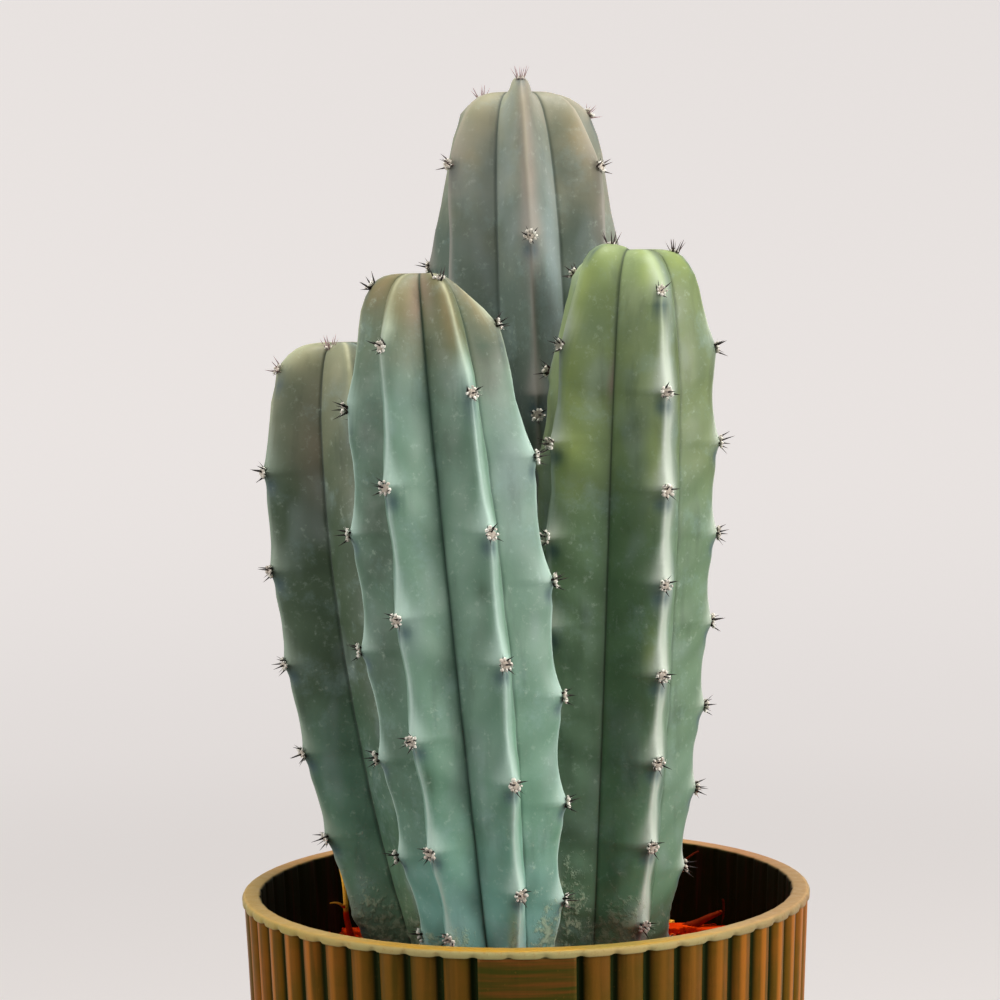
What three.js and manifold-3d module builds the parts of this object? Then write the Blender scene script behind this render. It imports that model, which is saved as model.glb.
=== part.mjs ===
// Potted blue myrtle cactus: a fluted pot, the potting mix in it, and four ribbed stems with spines.
// Millimetres, +Z up, the origin in the middle of the pot's base, -Y towards the viewer.
import * as THREE from 'three';
import { mergeVertices } from 'three/addons/utils/BufferGeometryUtils.js';
import Module from 'manifold-3d';

const wasm = await Module();
wasm.setup();

// Clearance between pieces that touch on the real object
const seatGap = 0.3;

// Points closer than this are one point
const weldDistance = 1e-3;

// Finishes
const potColour = 0x67401f;
const soilColour = 0x8a3c16;
const satin = 0.6;
const matte = 0.95;

// Pot: a round wall of flutes, closed at the top by a rounded lip
const potHeight = 165;
const rimRadius = 90;
const footRadius = 82.6;
const fluteTopRadius = 89.4;
const fluteCount = 54;
const fluteDepth = 1.7;
const fluteFlat = 0.39;
const lipHeight = 3.2;
const lipShoulder = 0.7;
const lipRound = 1.4;
const lipWidth = 6;
const lipScallopLow = 0.5;
const lipScallopHigh = 0.3;
const floorThickness = 6;
const innerRibDepth = 0.5;

// Plaque: a smooth curved panel over three flutes at the front
const plaqueFlutes = 3;
const plaqueHeight = 24;
const plaqueSeat = 3;
const plaqueSteps = 6;

// Potting mix
const soilDepthBelowRim = 27.5;
const soilTop = potHeight - soilDepthBelowRim;
const soilColumns = 48;
const soilRings = [1, 0.82, 0.6, 0.36, 0.16];
const soilWallClearance = 0.25;
const soilLump = 1.1;
const soilWave = [0.16, 0.19];
const soilRipple = [0.35, 0.31];
const soilRippleShare = 0.6;

// Stems below the surface of the mix
const rootDepth = 30;
const rootTaper = 0.75;
const holeMargin = 1.0;
const holeSides = 20;

// Shape of a rib and its wave, the same on every stem
const recessSkew = 1.25;
const recessPower = 0.8;
const recessFade = 1.5;
const recessFullRadius = 15;
const crestRounding = 0.1;
const flankPower = 1.18;
const ribStations = [-0.56, -0.14, 0.14, 0.56, 1];
const crownRings = [0.16, 0.36, 0.54, 0.69, 0.81, 0.89];
const ringStep = 7.5;
const crownDip = 2.2;
const crownDepth = 45;

// Spines
const spineLength = 7.4;
const spineRadius = 0.55;
const spineSides = 3;
const spineSpacing = 0.55;
const spineSink = 1.7;
const spineSplay = 0.85;
const spinesPerAreole = 3;
const spineTurn = 0.5;
const spineTurnRange = 1.1;
const spineTurnStep = 2.3;
const areoleReach = 1.5;
const lowestAreole = 4;
const crownAreoleDepth = 0.8;
const crownAreoleLimit = 14;

// A rib: its azimuth, the depth of its first areole below the tip and the spacing of the next ones, how
// far its top stands above the crown, and the share of its girth that it lacks near the crown
function rib(azimuth, first, spacing, lift = 0, slim = 0) {
  return { azimuth, first, spacing, lift, slim };
}

// Each stem: tip is the top of its axis, foot is where the axis meets the mix. The areoles of a rib close
// up downwards by areoleShrink.
const stems = [
  {
    name: 'stem_front', colour: 0x6d8a7b,
    tip: [-28.5, -34, 359.5], foot: [-9.5, -38], bow: 0, twist: 0, radius: 31, footRadius: 19.5,
    shoulderDepth: 103, domePower: 4.3, taperPower: 1.9, grooveRatio: 0.59, recess: 3, areoleShrink: 1.3,
    ribs: [
      rib(-93.5, 0, 42), rib(-33.5, 21.5, 42.8), rib(26.5, -8.5, 45.2),
      rib(86.5, 15.5, 41.6), rib(146.5, 29, 42), rib(206.5, 8, 42),
    ],
  },
  {
    name: 'stem_right', colour: 0x5d7c4c,
    tip: [36.8, 2, 366], foot: [22, 4], bow: 0.8, twist: 12, radius: 31.5, footRadius: 24,
    shoulderDepth: 90, domePower: 4.7, taperPower: 2.8, grooveRatio: 0.64, recess: 2.4, areoleShrink: 0.45,
    ribs: [
      rib(-55, -1.5, 31.4), rib(20, 13, 31.4), rib(93, 0, 31.4), rib(168, 20, 31.4), rib(240, 7, 31.4),
    ],
  },
  {
    name: 'stem_left', colour: 0x4f6650,
    tip: [-56, 12, 338.3], foot: [-29.5, 18], bow: -5.8, twist: 0, radius: 31, footRadius: 23.5,
    shoulderDepth: 70, domePower: 4.8, taperPower: 2.5, grooveRatio: 0.56, recess: 1.7, areoleShrink: 0.6,
    ribs: [
      rib(-62, 8, 33), rib(10, 24, 33), rib(82, 4, 33), rib(154, 18, 33), rib(226, 1, 33),
    ],
  },
  {
    name: 'stem_back', colour: 0x77806e,
    tip: [1.8, 61, 419.5], foot: [5, 54], bow: 2, twist: 0, radius: 35, footRadius: 22,
    shoulderDepth: 80, domePower: 5, taperPower: 2, grooveRatio: 0.66, recess: 2.8, areoleShrink: 0.3,
    ribs: [
      rib(2.5, -4, 52.5, 6), rib(57, 25.7, 52), rib(105, 7, 52), rib(155, 34, 52),
      rib(205, 16, 52), rib(256, 6, 52, 0, 0.18), rib(307, 24.1, 52),
    ],
  },
];

// Solids and meshes

function closedBody(geometry) {
  geometry.deleteAttribute('normal');
  geometry.deleteAttribute('uv');
  const merged = mergeVertices(geometry, weldDistance);
  const corners = merged.index.array;
  const kept = [];
  for (let i = 0; i < corners.length; i += 3) {
    const [a, b, c] = [corners[i], corners[i + 1], corners[i + 2]];
    if (a !== b && b !== c && c !== a) {
      kept.push(a, b, c);
    }
  }
  merged.setIndex(kept);
  return merged;
}

function solidOf(geometry) {
  const body = closedBody(geometry);
  return new wasm.Manifold(new wasm.Mesh({
    numProp: 3,
    vertProperties: new Float32Array(body.attributes.position.array),
    triVerts: new Uint32Array(body.index.array),
  }));
}

// The outermost shell of a solid, with its closest points welded: crossing roots can seal a tiny hollow
function outerShell(solid) {
  const welded = solidOf(geometryOf(solid));
  return welded.decompose().reduce((best, part) => (part.volume() > best.volume() ? part : best));
}

function geometryOf(solid) {
  const mesh = solid.getMesh();
  const geometry = new THREE.BufferGeometry();
  geometry.setAttribute('position', new THREE.BufferAttribute(new Float32Array(mesh.vertProperties), 3));
  geometry.setIndex(Array.from(mesh.triVerts));
  geometry.computeVertexNormals();
  return geometry;
}

function namedMesh(name, geometry, colour, roughness) {
  const mesh = new THREE.Mesh(geometry, new THREE.MeshStandardMaterial({
    color: colour,
    roughness,
    metalness: 0,
    flatShading: true,
  }));
  mesh.name = name;
  return mesh;
}

// A closed body of revolution whose points are then set by place(column, level). Its first and last
// levels are single points on the axis, and the levels between run outwards and back.
function revolvedGrid(columns, levels, place) {
  const profile = [];
  for (let level = 0; level < levels; level += 1) {
    const onAxis = level === 0 || level === levels - 1;
    profile.push(new THREE.Vector2(onAxis ? 0 : 1, level));
  }
  const geometry = new THREE.LatheGeometry(profile, columns);
  const position = geometry.attributes.position;
  for (let column = 0; column <= columns; column += 1) {
    for (let level = 0; level < levels; level += 1) {
      const point = place(column % columns, level);
      position.setXYZ(column * levels + level, point.x, point.y, point.z);
    }
  }
  return geometry;
}

// A point at a distance from the pot's axis. Azimuth 0 is the front, and it grows towards the right.
function around(radius, azimuth, height) {
  return new THREE.Vector3(radius * Math.sin(azimuth), -radius * Math.cos(azimuth), height);
}

// Pot

function fluteRadius(height) {
  return footRadius + (fluteTopRadius - footRadius) * height / (potHeight - lipHeight);
}

function innerRadius(height) {
  const top = rimRadius - lipWidth;
  return top - (fluteTopRadius - footRadius) * (potHeight - height) / potHeight;
}

function potBody() {
  const stations = [-fluteFlat, fluteFlat, 0.5];
  const columns = fluteCount * stations.length;
  const lipBottom = potHeight - lipHeight;
  const profile = [
    { radius: 0, height: 0, flute: 0, rib: 0 },
    { radius: footRadius, height: 0, flute: fluteDepth, rib: 0 },
    { radius: fluteTopRadius, height: lipBottom, flute: fluteDepth, rib: 0 },
    { radius: rimRadius, height: lipBottom + lipShoulder, flute: lipScallopLow, rib: 0 },
    { radius: rimRadius, height: potHeight - lipRound, flute: lipScallopHigh, rib: 0 },
    { radius: rimRadius - lipRound, height: potHeight, flute: 0, rib: 0 },
    { radius: rimRadius - lipWidth, height: potHeight, flute: 0, rib: innerRibDepth },
    { radius: innerRadius(floorThickness), height: floorThickness, flute: 0, rib: innerRibDepth },
    { radius: 0, height: floorThickness, flute: 0, rib: 0 },
  ];
  return revolvedGrid(columns, profile.length, (column, level) => {
    const station = stations[column % stations.length];
    const azimuth = 2 * Math.PI * (Math.floor(column / stations.length) + station) / fluteCount;
    const inGroove = station === 0.5;
    const { radius, height, flute, rib } = profile[level];
    const cut = inGroove ? flute - rib : 0;
    return around(radius - cut, azimuth, height);
  });
}

function plaqueBody() {
  const halfAngle = Math.PI * (plaqueFlutes - 1 + 2 * fluteFlat) / fluteCount;
  const bottom = potHeight - lipHeight - plaqueHeight;
  const outline = new THREE.Shape();
  for (let step = 0; step <= plaqueSteps; step += 1) {
    const azimuth = -halfAngle + 2 * halfAngle * step / plaqueSteps;
    const point = around(1, azimuth, 0);
    outline.lineTo(point.x, point.y);
  }
  const inner = 1 - plaqueSeat / fluteTopRadius;
  for (let step = plaqueSteps; step >= 0; step -= 1) {
    const azimuth = -halfAngle + 2 * halfAngle * step / plaqueSteps;
    const point = around(inner, azimuth, 0);
    outline.lineTo(point.x, point.y);
  }
  outline.curves.shift();
  const geometry = new THREE.ExtrudeGeometry(outline, { depth: plaqueHeight, bevelEnabled: false });
  const position = geometry.attributes.position;
  for (let i = 0; i < position.count; i += 1) {
    const height = bottom + position.getZ(i);
    const radius = fluteRadius(height);
    position.setXYZ(i, position.getX(i) * radius, position.getY(i) * radius, height);
  }
  return geometry;
}

function buildPot() {
  const pot = solidOf(potBody()).add(solidOf(plaqueBody()));
  return namedMesh('pot', geometryOf(pot), potColour, satin);
}

// Stems

function stemLength(stem) {
  return stem.tip[2] - soilTop;
}

// The middle of the stem at a depth below its tip. Below the mix the stem goes straight down.
function axisPoint(stem, depth) {
  const rise = Math.max(0, 1 - depth / stemLength(stem));
  const x = THREE.MathUtils.lerp(stem.foot[0], stem.tip[0], rise) + stem.bow * 4 * rise * (1 - rise);
  const y = THREE.MathUtils.lerp(stem.foot[1], stem.tip[1], rise);
  return new THREE.Vector3(x, y, stem.tip[2] - depth);
}

function domeDepth(stem, share) {
  return stem.shoulderDepth * (1 - Math.sqrt(1 - Math.pow(share, stem.domePower)));
}

// Distance of the areoles from the axis, from a full dome through the widest girth to the narrow foot
function envelope(stem, depth) {
  if (depth < stem.shoulderDepth) {
    const rise = 1 - depth / stem.shoulderDepth;
    return stem.radius * Math.pow(1 - rise * rise, 1 / stem.domePower);
  }
  const share = Math.min(1, (depth - stem.shoulderDepth) / (stemLength(stem) - stem.shoulderDepth));
  return stem.radius - (stem.radius - stem.footRadius) * Math.pow(share, stem.taperPower);
}

// 1 at the tip of a stem, falling to 0 where its crown ends
function crownShare(depth) {
  return Math.max(0, 1 - depth / crownDepth);
}

// Number of areoles passed on a rib at a depth below the tip, as a fraction
function areoleCount(stem, { first, spacing }, depth) {
  const shrink = stem.areoleShrink;
  const run = depth - first;
  return (spacing - Math.sqrt(spacing * spacing - 4 * shrink * run)) / (2 * shrink);
}

// How far the crest draws back between two areoles
function crestRecess(stem, index, depth) {
  const passed = areoleCount(stem, stem.ribs[index], Math.min(depth, stemLength(stem)));
  const phase = passed - Math.floor(passed);
  const wave = Math.pow(Math.sin(Math.PI * Math.pow(phase, recessSkew)), recessPower);
  return stem.recess * wave * Math.min(1, envelope(stem, depth) / recessFullRadius);
}

// 1 on the crest of a rib and 0 in the groove beside it
function flankShape(across) {
  const round = Math.hypot(across, crestRounding) - crestRounding;
  const reach = Math.hypot(1, crestRounding) - crestRounding;
  return Math.pow(1 - round / reach, flankPower);
}

// Across runs from -1 in the groove before a rib, through 0 on its crest, to 1 in the groove after it
function stemRadius(stem, index, across, depth) {
  const girth = envelope(stem, depth);
  const groove = girth * stem.grooveRatio;
  const crest = girth * (1 - stem.ribs[index].slim * crownShare(depth));
  const shape = flankShape(Math.abs(across));
  return groove + (crest - groove) * shape - crestRecess(stem, index, depth) * Math.pow(shape, recessFade);
}

function stemAzimuth(stem, index, across, depth) {
  const count = stem.ribs.length;
  const here = stem.ribs[index].azimuth;
  const beside = stem.ribs[(index + count + Math.sign(across)) % count].azimuth;
  const gap = THREE.MathUtils.euclideanModulo(Math.sign(across) * (beside - here), 360);
  const twist = stem.twist * Math.min(1, depth / stemLength(stem));
  return THREE.MathUtils.degToRad(here + across * gap / 2 + twist);
}

function stemPoint(stem, index, across, depth) {
  const radius = stemRadius(stem, index, across, depth);
  const azimuth = stemAzimuth(stem, index, across, depth);
  const lift = stem.ribs[index].lift * (1 - across * across) * crownShare(depth) ** 2;
  return axisPoint(stem, depth).add(around(radius, azimuth, lift));
}

// Depths of the rings of points, from the bottom of the stem up to its crown
function ringDepths(stem) {
  const crown = crownRings.map((share) => domeDepth(stem, share));
  const start = stemLength(stem);
  const end = crown[crown.length - 1];
  const count = Math.round((start - end) / ringStep);
  const depths = [];
  for (let i = 0; i < count; i += 1) {
    depths.push(start - (start - end) * i / count);
  }
  return depths.concat(crown.reverse());
}

function stemBody(stem) {
  const depths = ringDepths(stem);
  const length = stemLength(stem);
  const bottom = axisPoint(stem, length + rootDepth);
  const levels = depths.length + 3;
  return revolvedGrid(stem.ribs.length * ribStations.length, levels, (column, level) => {
    const index = Math.floor(column / ribStations.length);
    const across = ribStations[column % ribStations.length];
    if (level === 0) {
      return bottom.clone();
    }
    if (level === 1) {
      const radius = stemRadius(stem, index, across, length) * rootTaper;
      return around(radius, stemAzimuth(stem, index, across, length), 0).add(bottom);
    }
    if (level === levels - 1) {
      return axisPoint(stem, crownDip);
    }
    return stemPoint(stem, index, across, depths[level - 2]);
  });
}

// Depths of the areoles on a rib. A rib whose first areole is far down has a young one on the crown too.
function areoleDepths(stem, { first, spacing }) {
  const depths = first > crownAreoleLimit ? [crownAreoleDepth] : [];
  let count = 0;
  let depth = first;
  while (depth < stemLength(stem) - lowestAreole) {
    depths.push(Math.max(depth, crownAreoleDepth));
    count += 1;
    depth = first + spacing * count - stem.areoleShrink * count * count;
  }
  return depths;
}

function spineBody(root, direction) {
  const geometry = new THREE.ConeGeometry(spineRadius, spineLength, spineSides);
  const aim = new THREE.Quaternion().setFromUnitVectors(new THREE.Vector3(0, 1, 0), direction);
  geometry.translate(0, spineLength / 2, 0);
  geometry.applyQuaternion(aim);
  geometry.translate(root.x, root.y, root.z);
  return geometry;
}

// The directions away from the stem, down the crest and across it, at an areole
function areoleFrame(stem, index, depth) {
  const azimuth = stemAzimuth(stem, index, 0, depth);
  const seat = stemPoint(stem, index, 0, depth);
  const upper = Math.max(0, depth - areoleReach);
  const lower = depth + areoleReach;
  const above = axisPoint(stem, upper).add(around(envelope(stem, upper), azimuth, 0));
  const below = axisPoint(stem, lower).add(around(envelope(stem, lower), azimuth, 0));
  const down = below.sub(above).normalize();
  const side = around(1, azimuth + Math.PI / 2, 0);
  const out = new THREE.Vector3().crossVectors(side, down).normalize();
  return { seat, out, down, side };
}

// The spines of an areole, fanned out around it and turned a little from one areole to the next
function areoleSpines(stem, index, depth, place) {
  const { seat, out, down, side } = areoleFrame(stem, index, depth);
  const spines = [];
  const start = spineTurn + spineTurnRange * Math.sin(spineTurnStep * place + index);
  for (let i = 0; i < spinesPerAreole; i += 1) {
    const turn = start + 2 * Math.PI * i / spinesPerAreole;
    const spread = side.clone().multiplyScalar(Math.cos(turn)).addScaledVector(down, Math.sin(turn));
    const direction = out.clone().addScaledVector(spread, spineSplay).normalize();
    const root = seat.clone().addScaledVector(spread, spineSpacing).addScaledVector(out, -spineSink);
    spines.push(spineBody(root, direction));
  }
  return spines;
}

function buildStem(stem) {
  let solid = solidOf(stemBody(stem));
  stem.ribs.forEach((rib, index) => {
    areoleDepths(stem, rib).forEach((depth, place) => {
      for (const spine of areoleSpines(stem, index, depth, place)) {
        solid = solid.add(solidOf(spine));
      }
    });
  });
  return namedMesh(stem.name, geometryOf(outerShell(solid)), stem.colour, satin);
}

// Potting mix

function soilHeight(x, y) {
  const wave = Math.cos(x * soilWave[0]) * Math.cos(y * soilWave[1]);
  const ripple = Math.sin(x * soilRipple[0] - y * soilRipple[1]);
  return soilTop + soilLump * (wave + soilRippleShare * ripple);
}

function soilBody() {
  const bottom = floorThickness + seatGap;
  const clear = seatGap + innerRibDepth / 2 + soilWallClearance;
  return revolvedGrid(soilColumns, soilRings.length + 3, (column, level) => {
    const azimuth = 2 * Math.PI * column / soilColumns;
    if (level === 0) {
      return new THREE.Vector3(0, 0, bottom);
    }
    if (level === 1) {
      return around(innerRadius(bottom) - clear, azimuth, bottom);
    }
    if (level === soilRings.length + 2) {
      return new THREE.Vector3(0, 0, soilHeight(0, 0));
    }
    const point = around(soilRings[level - 2] * (innerRadius(soilTop) - clear), azimuth, 0);
    point.z = soilHeight(point.x, point.y);
    return point;
  });
}

// The plain hole that a stem stands in
function stemHole(stem) {
  const bottom = soilTop - rootDepth - seatGap;
  const top = potHeight;
  const geometry = new THREE.CylinderGeometry(1, 1, top - bottom, holeSides);
  const radius = (stem.footRadius + holeMargin) / Math.cos(Math.PI / holeSides);
  geometry.rotateX(Math.PI / 2);
  geometry.scale(radius, radius, 1);
  geometry.translate(stem.foot[0], stem.foot[1], (top + bottom) / 2);
  return geometry;
}

function buildSoil() {
  let soil = solidOf(soilBody());
  for (const stem of stems) {
    soil = soil.subtract(solidOf(stemHole(stem)));
  }
  return namedMesh('soil', geometryOf(soil), soilColour, matte);
}

const pottedCactus = new THREE.Group();
pottedCactus.name = 'potted_blue_myrtle_cactus';
pottedCactus.add(buildPot());
pottedCactus.add(buildSoil());
for (const stem of stems) {
  pottedCactus.add(buildStem(stem));
}

export default pottedCactus;
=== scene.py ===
import math
import random

import bmesh
import bpy
import numpy as np
from mathutils import Matrix, Vector, noise


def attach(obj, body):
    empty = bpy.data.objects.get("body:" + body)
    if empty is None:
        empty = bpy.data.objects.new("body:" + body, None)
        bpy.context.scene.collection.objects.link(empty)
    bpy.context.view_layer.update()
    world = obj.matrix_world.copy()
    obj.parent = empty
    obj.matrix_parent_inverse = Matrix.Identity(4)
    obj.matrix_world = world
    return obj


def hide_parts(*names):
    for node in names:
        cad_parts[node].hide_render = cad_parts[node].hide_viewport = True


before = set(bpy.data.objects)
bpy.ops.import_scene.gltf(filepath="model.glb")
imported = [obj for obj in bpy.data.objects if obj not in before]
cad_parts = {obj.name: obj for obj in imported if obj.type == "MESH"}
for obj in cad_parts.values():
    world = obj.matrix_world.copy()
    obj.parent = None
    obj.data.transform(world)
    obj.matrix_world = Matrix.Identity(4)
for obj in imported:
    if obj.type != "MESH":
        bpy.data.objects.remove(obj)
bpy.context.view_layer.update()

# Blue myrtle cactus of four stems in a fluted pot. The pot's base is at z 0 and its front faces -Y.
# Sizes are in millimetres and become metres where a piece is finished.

mm = 0.001


# Mesh helpers

# Azimuth 0 is the front, growing to the right
def around(radius, azimuth):
    return radius * np.sin(azimuth), -radius * np.cos(azimuth)


# A closed shell of revolution: a line of points, one to a level, spun about Z. Both ends are poles.
def spunShell(columns, levels):
    bm = bmesh.new()
    verts = [bm.verts.new(spot) for spot in ((0, 0, 0), (1, 0, 1), (1, 0, levels - 2), (0, 0, levels - 1))]
    edges = [bm.edges.new(pair) for pair in zip(verts, verts[1:])]
    bmesh.ops.subdivide_edges(bm, edges=edges[1:2], cuts=levels - 4)
    bmesh.ops.spin(bm, geom=bm.verts[:] + bm.edges[:], cent=(0, 0, 0), axis=(0, 0, 1),
                   angle=2 * math.pi, steps=columns, use_merge=True)
    bmesh.ops.remove_doubles(bm, verts=bm.verts, dist=1e-3)
    bmesh.ops.recalc_face_normals(bm, faces=bm.faces)
    spots = np.array([vert.co[:] for vert in bm.verts])
    column = np.rint(np.arctan2(spots[:, 1], spots[:, 0]) / (2 * math.pi) * columns).astype(int) % columns
    return bm, column, np.rint(spots[:, 2]).astype(int)


def ripples(x, y, z, size, seed=0.0):
    return np.array([noise.noise(Vector(p)) for p in zip(x / size + seed, y / size, z / size)])


def addObject(name, data):
    holder = bpy.data.objects.new(name, data)
    bpy.context.collection.objects.link(holder)
    return holder


def smoothMesh(name, bm, material):
    mesh = bpy.data.meshes.new(name)
    bm.to_mesh(mesh)
    bm.free()
    mesh.shade_smooth()
    mesh.materials.append(material)
    return mesh


def finishPiece(name, bm, material, stands=(), points=None, marks=None):
    mesh = smoothMesh(name, bm, material)
    if points is not None:
        mesh.vertices.foreach_set("co", np.stack(points, axis=1).ravel())
    mesh.transform(Matrix.Scale(mm, 4))
    for mark, values in (marks or {}).items():
        layer = mesh.attributes.new(mark, "FLOAT", "POINT")
        layer.data.foreach_set("value", np.asarray(values, dtype=np.float32))
    mesh.update()
    piece = addObject(name, mesh)
    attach(piece, "root")
    if stands:
        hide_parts(*stands)
    print(name, len(mesh.polygons), "faces")


# Material helpers

def newMaterial(name):
    material = bpy.data.materials.new(name)
    material.use_nodes = True
    tree = material.node_tree
    return material, tree, tree.nodes["Principled BSDF"]


# Links or values for the inputs of a node. A socket and a node know their tree as id_data.
def plug(node, inputs):
    for key, value in inputs.items():
        if isinstance(value, bpy.types.NodeSocket):
            node.id_data.links.new(value, node.inputs[key])
        else:
            node.inputs[key].default_value = value


def addNode(tree, kind, inputs=None, **settings):
    node = tree.nodes.new("ShaderNode" + kind)
    for key, value in settings.items():
        setattr(node, key, value)
    plug(node, inputs or {})
    return node


# What finishPiece stored on the mesh under these names
def marksOf(tree, *names):
    return [addNode(tree, "Attribute", attribute_name=name).outputs["Fac"] for name in names]


def blend(factor, first, second, how="MIX"):
    colours = [(*c, 1) if isinstance(c, tuple) else c for c in (first, second)]
    inputs = {0: factor, 6: colours[0], 7: colours[1]}
    return addNode(factor.id_data, "Mix", inputs, data_type="RGBA", blend_type=how).outputs[2]


# Colours laid over a tone one by one: how much, which colour, and how it mixes where that isn't plain
def coats(tone, *rows):
    for factor, colour, *how in rows:
        tone = blend(factor, tone, colour, *how)
    return tone


def maths(how, first, second=0.5):
    return addNode(first.id_data, "Math", {0: first, 1: second}, operation=how).outputs[0]


def times(first, second):
    return maths("MULTIPLY", first, second)


def spread(value, low, high, start=0.0, end=1.0):
    inputs = {"Value": value, "From Min": low, "From Max": high, "To Min": start, "To Max": end}
    return addNode(value.id_data, "MapRange", inputs, interpolation_type="SMOOTHSTEP").outputs[0]


def placed(tree, scale=(1, 1, 1)):
    spot = addNode(tree, "TexCoord").outputs["Object"]
    return addNode(tree, "Mapping", {"Vector": spot, "Scale": scale}).outputs[0]


def cloud(where, scale, detail=3.0, rough=0.55):
    values = {"Vector": where, "Scale": scale, "Detail": detail, "Roughness": rough}
    return addNode(where.id_data, "TexNoise", values).outputs["Fac"]


def cells(where, scale):
    values = {"Vector": where, "Scale": scale}
    return addNode(where.id_data, "TexVoronoi", values, feature="F1").outputs["Distance"]


def relief(height, strength, depth, under=None):
    values = {"Height": height, "Strength": strength, "Distance": depth * mm}
    if under is not None:
        values["Normal"] = under
    return addNode(height.id_data, "Bump", values).outputs[0]


# Stems. A rib is given as its azimuth, the depth of its first areole below the tip, the spacing of the
# next ones, how far its top stands above the crown, and the share of girth it lacks there; the last two
# may be left out. Colours run from the foot to the top, as painted shade for the flanks that face left
# (shade) and painted light for those that face right (sun); the foot colours, mostly lighter than the
# ones above, are painted light where the pot shades the foot. The groove colour is painted shade in the
# grooves. A patch is its rib, place across the rib, depth, width across, height and strength. The deep
# patches are mostly painted shade on shaded flanks and near the soil, and a stem's shoulders are a
# painted highlight on the right side of a crest.

stemShape = {
    "soilTop": 137.5, "rootDepth": 30, "rootSteps": (14, 5), "rootTaper": 0.75,
    "highestAreole": 0.8, "areoleAboveSoil": 4, "ringStep": 1.15,
    "recessSkew": 1.25, "recessPower": 0.8, "recessFade": 1.5, "recessFullRadius": 15,
    "crestRounding": 0.05, "flankPower": 1.5, "liftReach": 0.35, "trimPower": 5,
    "crownDepth": 45, "crownDip": 2.2, "dipReach": 0.22, "dipPower": 1.5,
    "stations": (0, 0.03, 0.07, 0.13, 0.21, 0.31, 0.43, 0.56, 0.69, 0.81, 0.905, 0.965, 1),
    "crownShares": (0.04, 0.09, 0.15, 0.22, 0.3, 0.38, 0.46, 0.54, 0.62, 0.69, 0.75, 0.8, 0.85, 0.89,
                    0.925),
    # how much the crest widens above an areole, below one and at the crown, each with its reach
    "swell": (1.4, 11), "lowSwell": (0.25, 4), "tipSwell": (2.2, 7),
    "ridgeWidth": 0.8, "ridgeSpread": 2.2, "ridgeReach": 9, "grooveShadeWidth": 0.36,
    "slit": 0.45, "slitWidth": 0.35,
    "lump": 0.3, "lumpSize": 17, "grain": 0.1, "grainSize": 4.2, "plainRadius": 12,
    "fold": 0.3, "foldsPerAreole": 2.0, "foldSlope": 0.75, "foldBend": 0.25, "foldBendSize": 30,
    "foldFade": 0.4, "foldStart": 6, "halfRib": 20,
    "dimple": 0.9, "dimpleDrop": 4.6, "dimpleHeight": 3.2, "dimpleAside": 1.4, "dimpleWidth": 2.2,
    "crease": 0.3, "creaseHeight": 26, "creaseTurn": 1.9, "creaseSize": 9,
    "corkFoot": 0.62, "corkFade": 1.2, "corkCrumbs": 0.25, "corkSize": 12,
    "corkScar": 0.3, "scarHeight": 3.2, "scarWidth": 2.4, "corkAge": 0.3,
    "haloReach": 9, "haloWidth": 0.22, "lowHalo": 0.5, "lowHaloReach": 2.5, "lowHaloWidth": 0.2,
    # where the painted highlight beside a crest starts and lies, and how flanks turn for their painted
    # light and shade
    "shoulderStart": 16, "shoulderAside": 2.0, "shoulderWidth": 1.9, "sideTurn": 58, "sideSharpness": 5,
    "dimpleFlank": 0.3, "ribTurn": 2.1,
}

frontStem = {
    "name": "stem_front", "slot": "stem_skin_blue",
    "tip": (-28.5, -34, 359.5), "foot": (-9.5, -38), "bow": 0, "twist": 0,
    "radius": 31, "footRadius": 19.5, "shoulderDepth": 103, "domePower": 4.3, "taperPower": 1.9,
    "grooveRatio": 0.59, "recess": 3, "areoleShrink": 1.3,
    "ribs": ((-93.5, 0, 42), (-33.5, 21.5, 42.8), (26.5, -8.5, 45.2),
             (86.5, 15.5, 41.6), (146.5, 29, 42), (206.5, 8, 42)),
    "shade": ((0.155, 0.34, 0.29), (0.098, 0.21, 0.15), (0.135, 0.24, 0.17), (0.165, 0.16, 0.06)),
    "sun": ((0.155, 0.34, 0.3), (0.135, 0.275, 0.185), (0.138, 0.24, 0.17), (0.135, 0.132, 0.06)),
    "ramp": (0.8, 1.0), "crest": (0.37, 0.5, 0.43), "crestTop": (0.38, 0.35, 0.19),
    "groove": (0.02, 0.055, 0.034), "litShoulders": {2: 0.45},
    "young": 0.0, "crowned": (), "trimmed": {3: 0.4}, "fingerWidth": 3,
    "moved": {(0, 0): (3.4, 0), (0, 6): (202, 0), (1, 5): (199, 0), (2, 0): (1.5, 0.02)},
    "patches": {
        "deep": [(0, 0.5, 72, 0.9, 55, 0.95), (0, 0.4, 150, 0.8, 40, 0.4), (2, -0.6, 40, 0.5, 22, 0.6),
                 (1, 0.2, 18, 0.4, 8, 0.4), (3, -0.5, 20, 0.6, 13, 0.9), (2, -0.2, 94, 0.12, 4, 0.9),
                 (1, 0.12, 152, 0.1, 6, 0.8)],
        "cream": [(1, 0.25, 3, 0.6, 8, 0.15)],
        "tan": [(3, -0.15, 9, 0.5, 9, 0.6), (2, -0.1, 12, 0.2, 12, 0.4), (1, 0.3, 8, 0.6, 7, 0.25),
                (0, 0.5, 4, 0.5, 6, 0.5), (2, -0.13, 206, 0.1, 10, 0.35)],
        "rosy": [(1, 0.8, 9, 0.35, 10, 0.6), (2, -0.75, 4, 0.35, 7, 0.5), (3, -0.6, 26, 0.5, 14, 0.4)],
        "haze": [(1, 0.4, 36, 0.4, 12, 0.2), (3, -0.5, 62, 0.5, 26, 0.4)],
        "cork": [(1, 0.3, 203, 0.5, 9, 0.55), (3, -0.25, 201, 0.5, 12, 0.55),
                 (2, -0.12, 203, 0.12, 14, 0.6), (0, 0.3, 206, 0.5, 9, 0.5)],
        "lime": [(2, -0.13, 204, 0.1, 11, 0.45)],
    },
}
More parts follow.
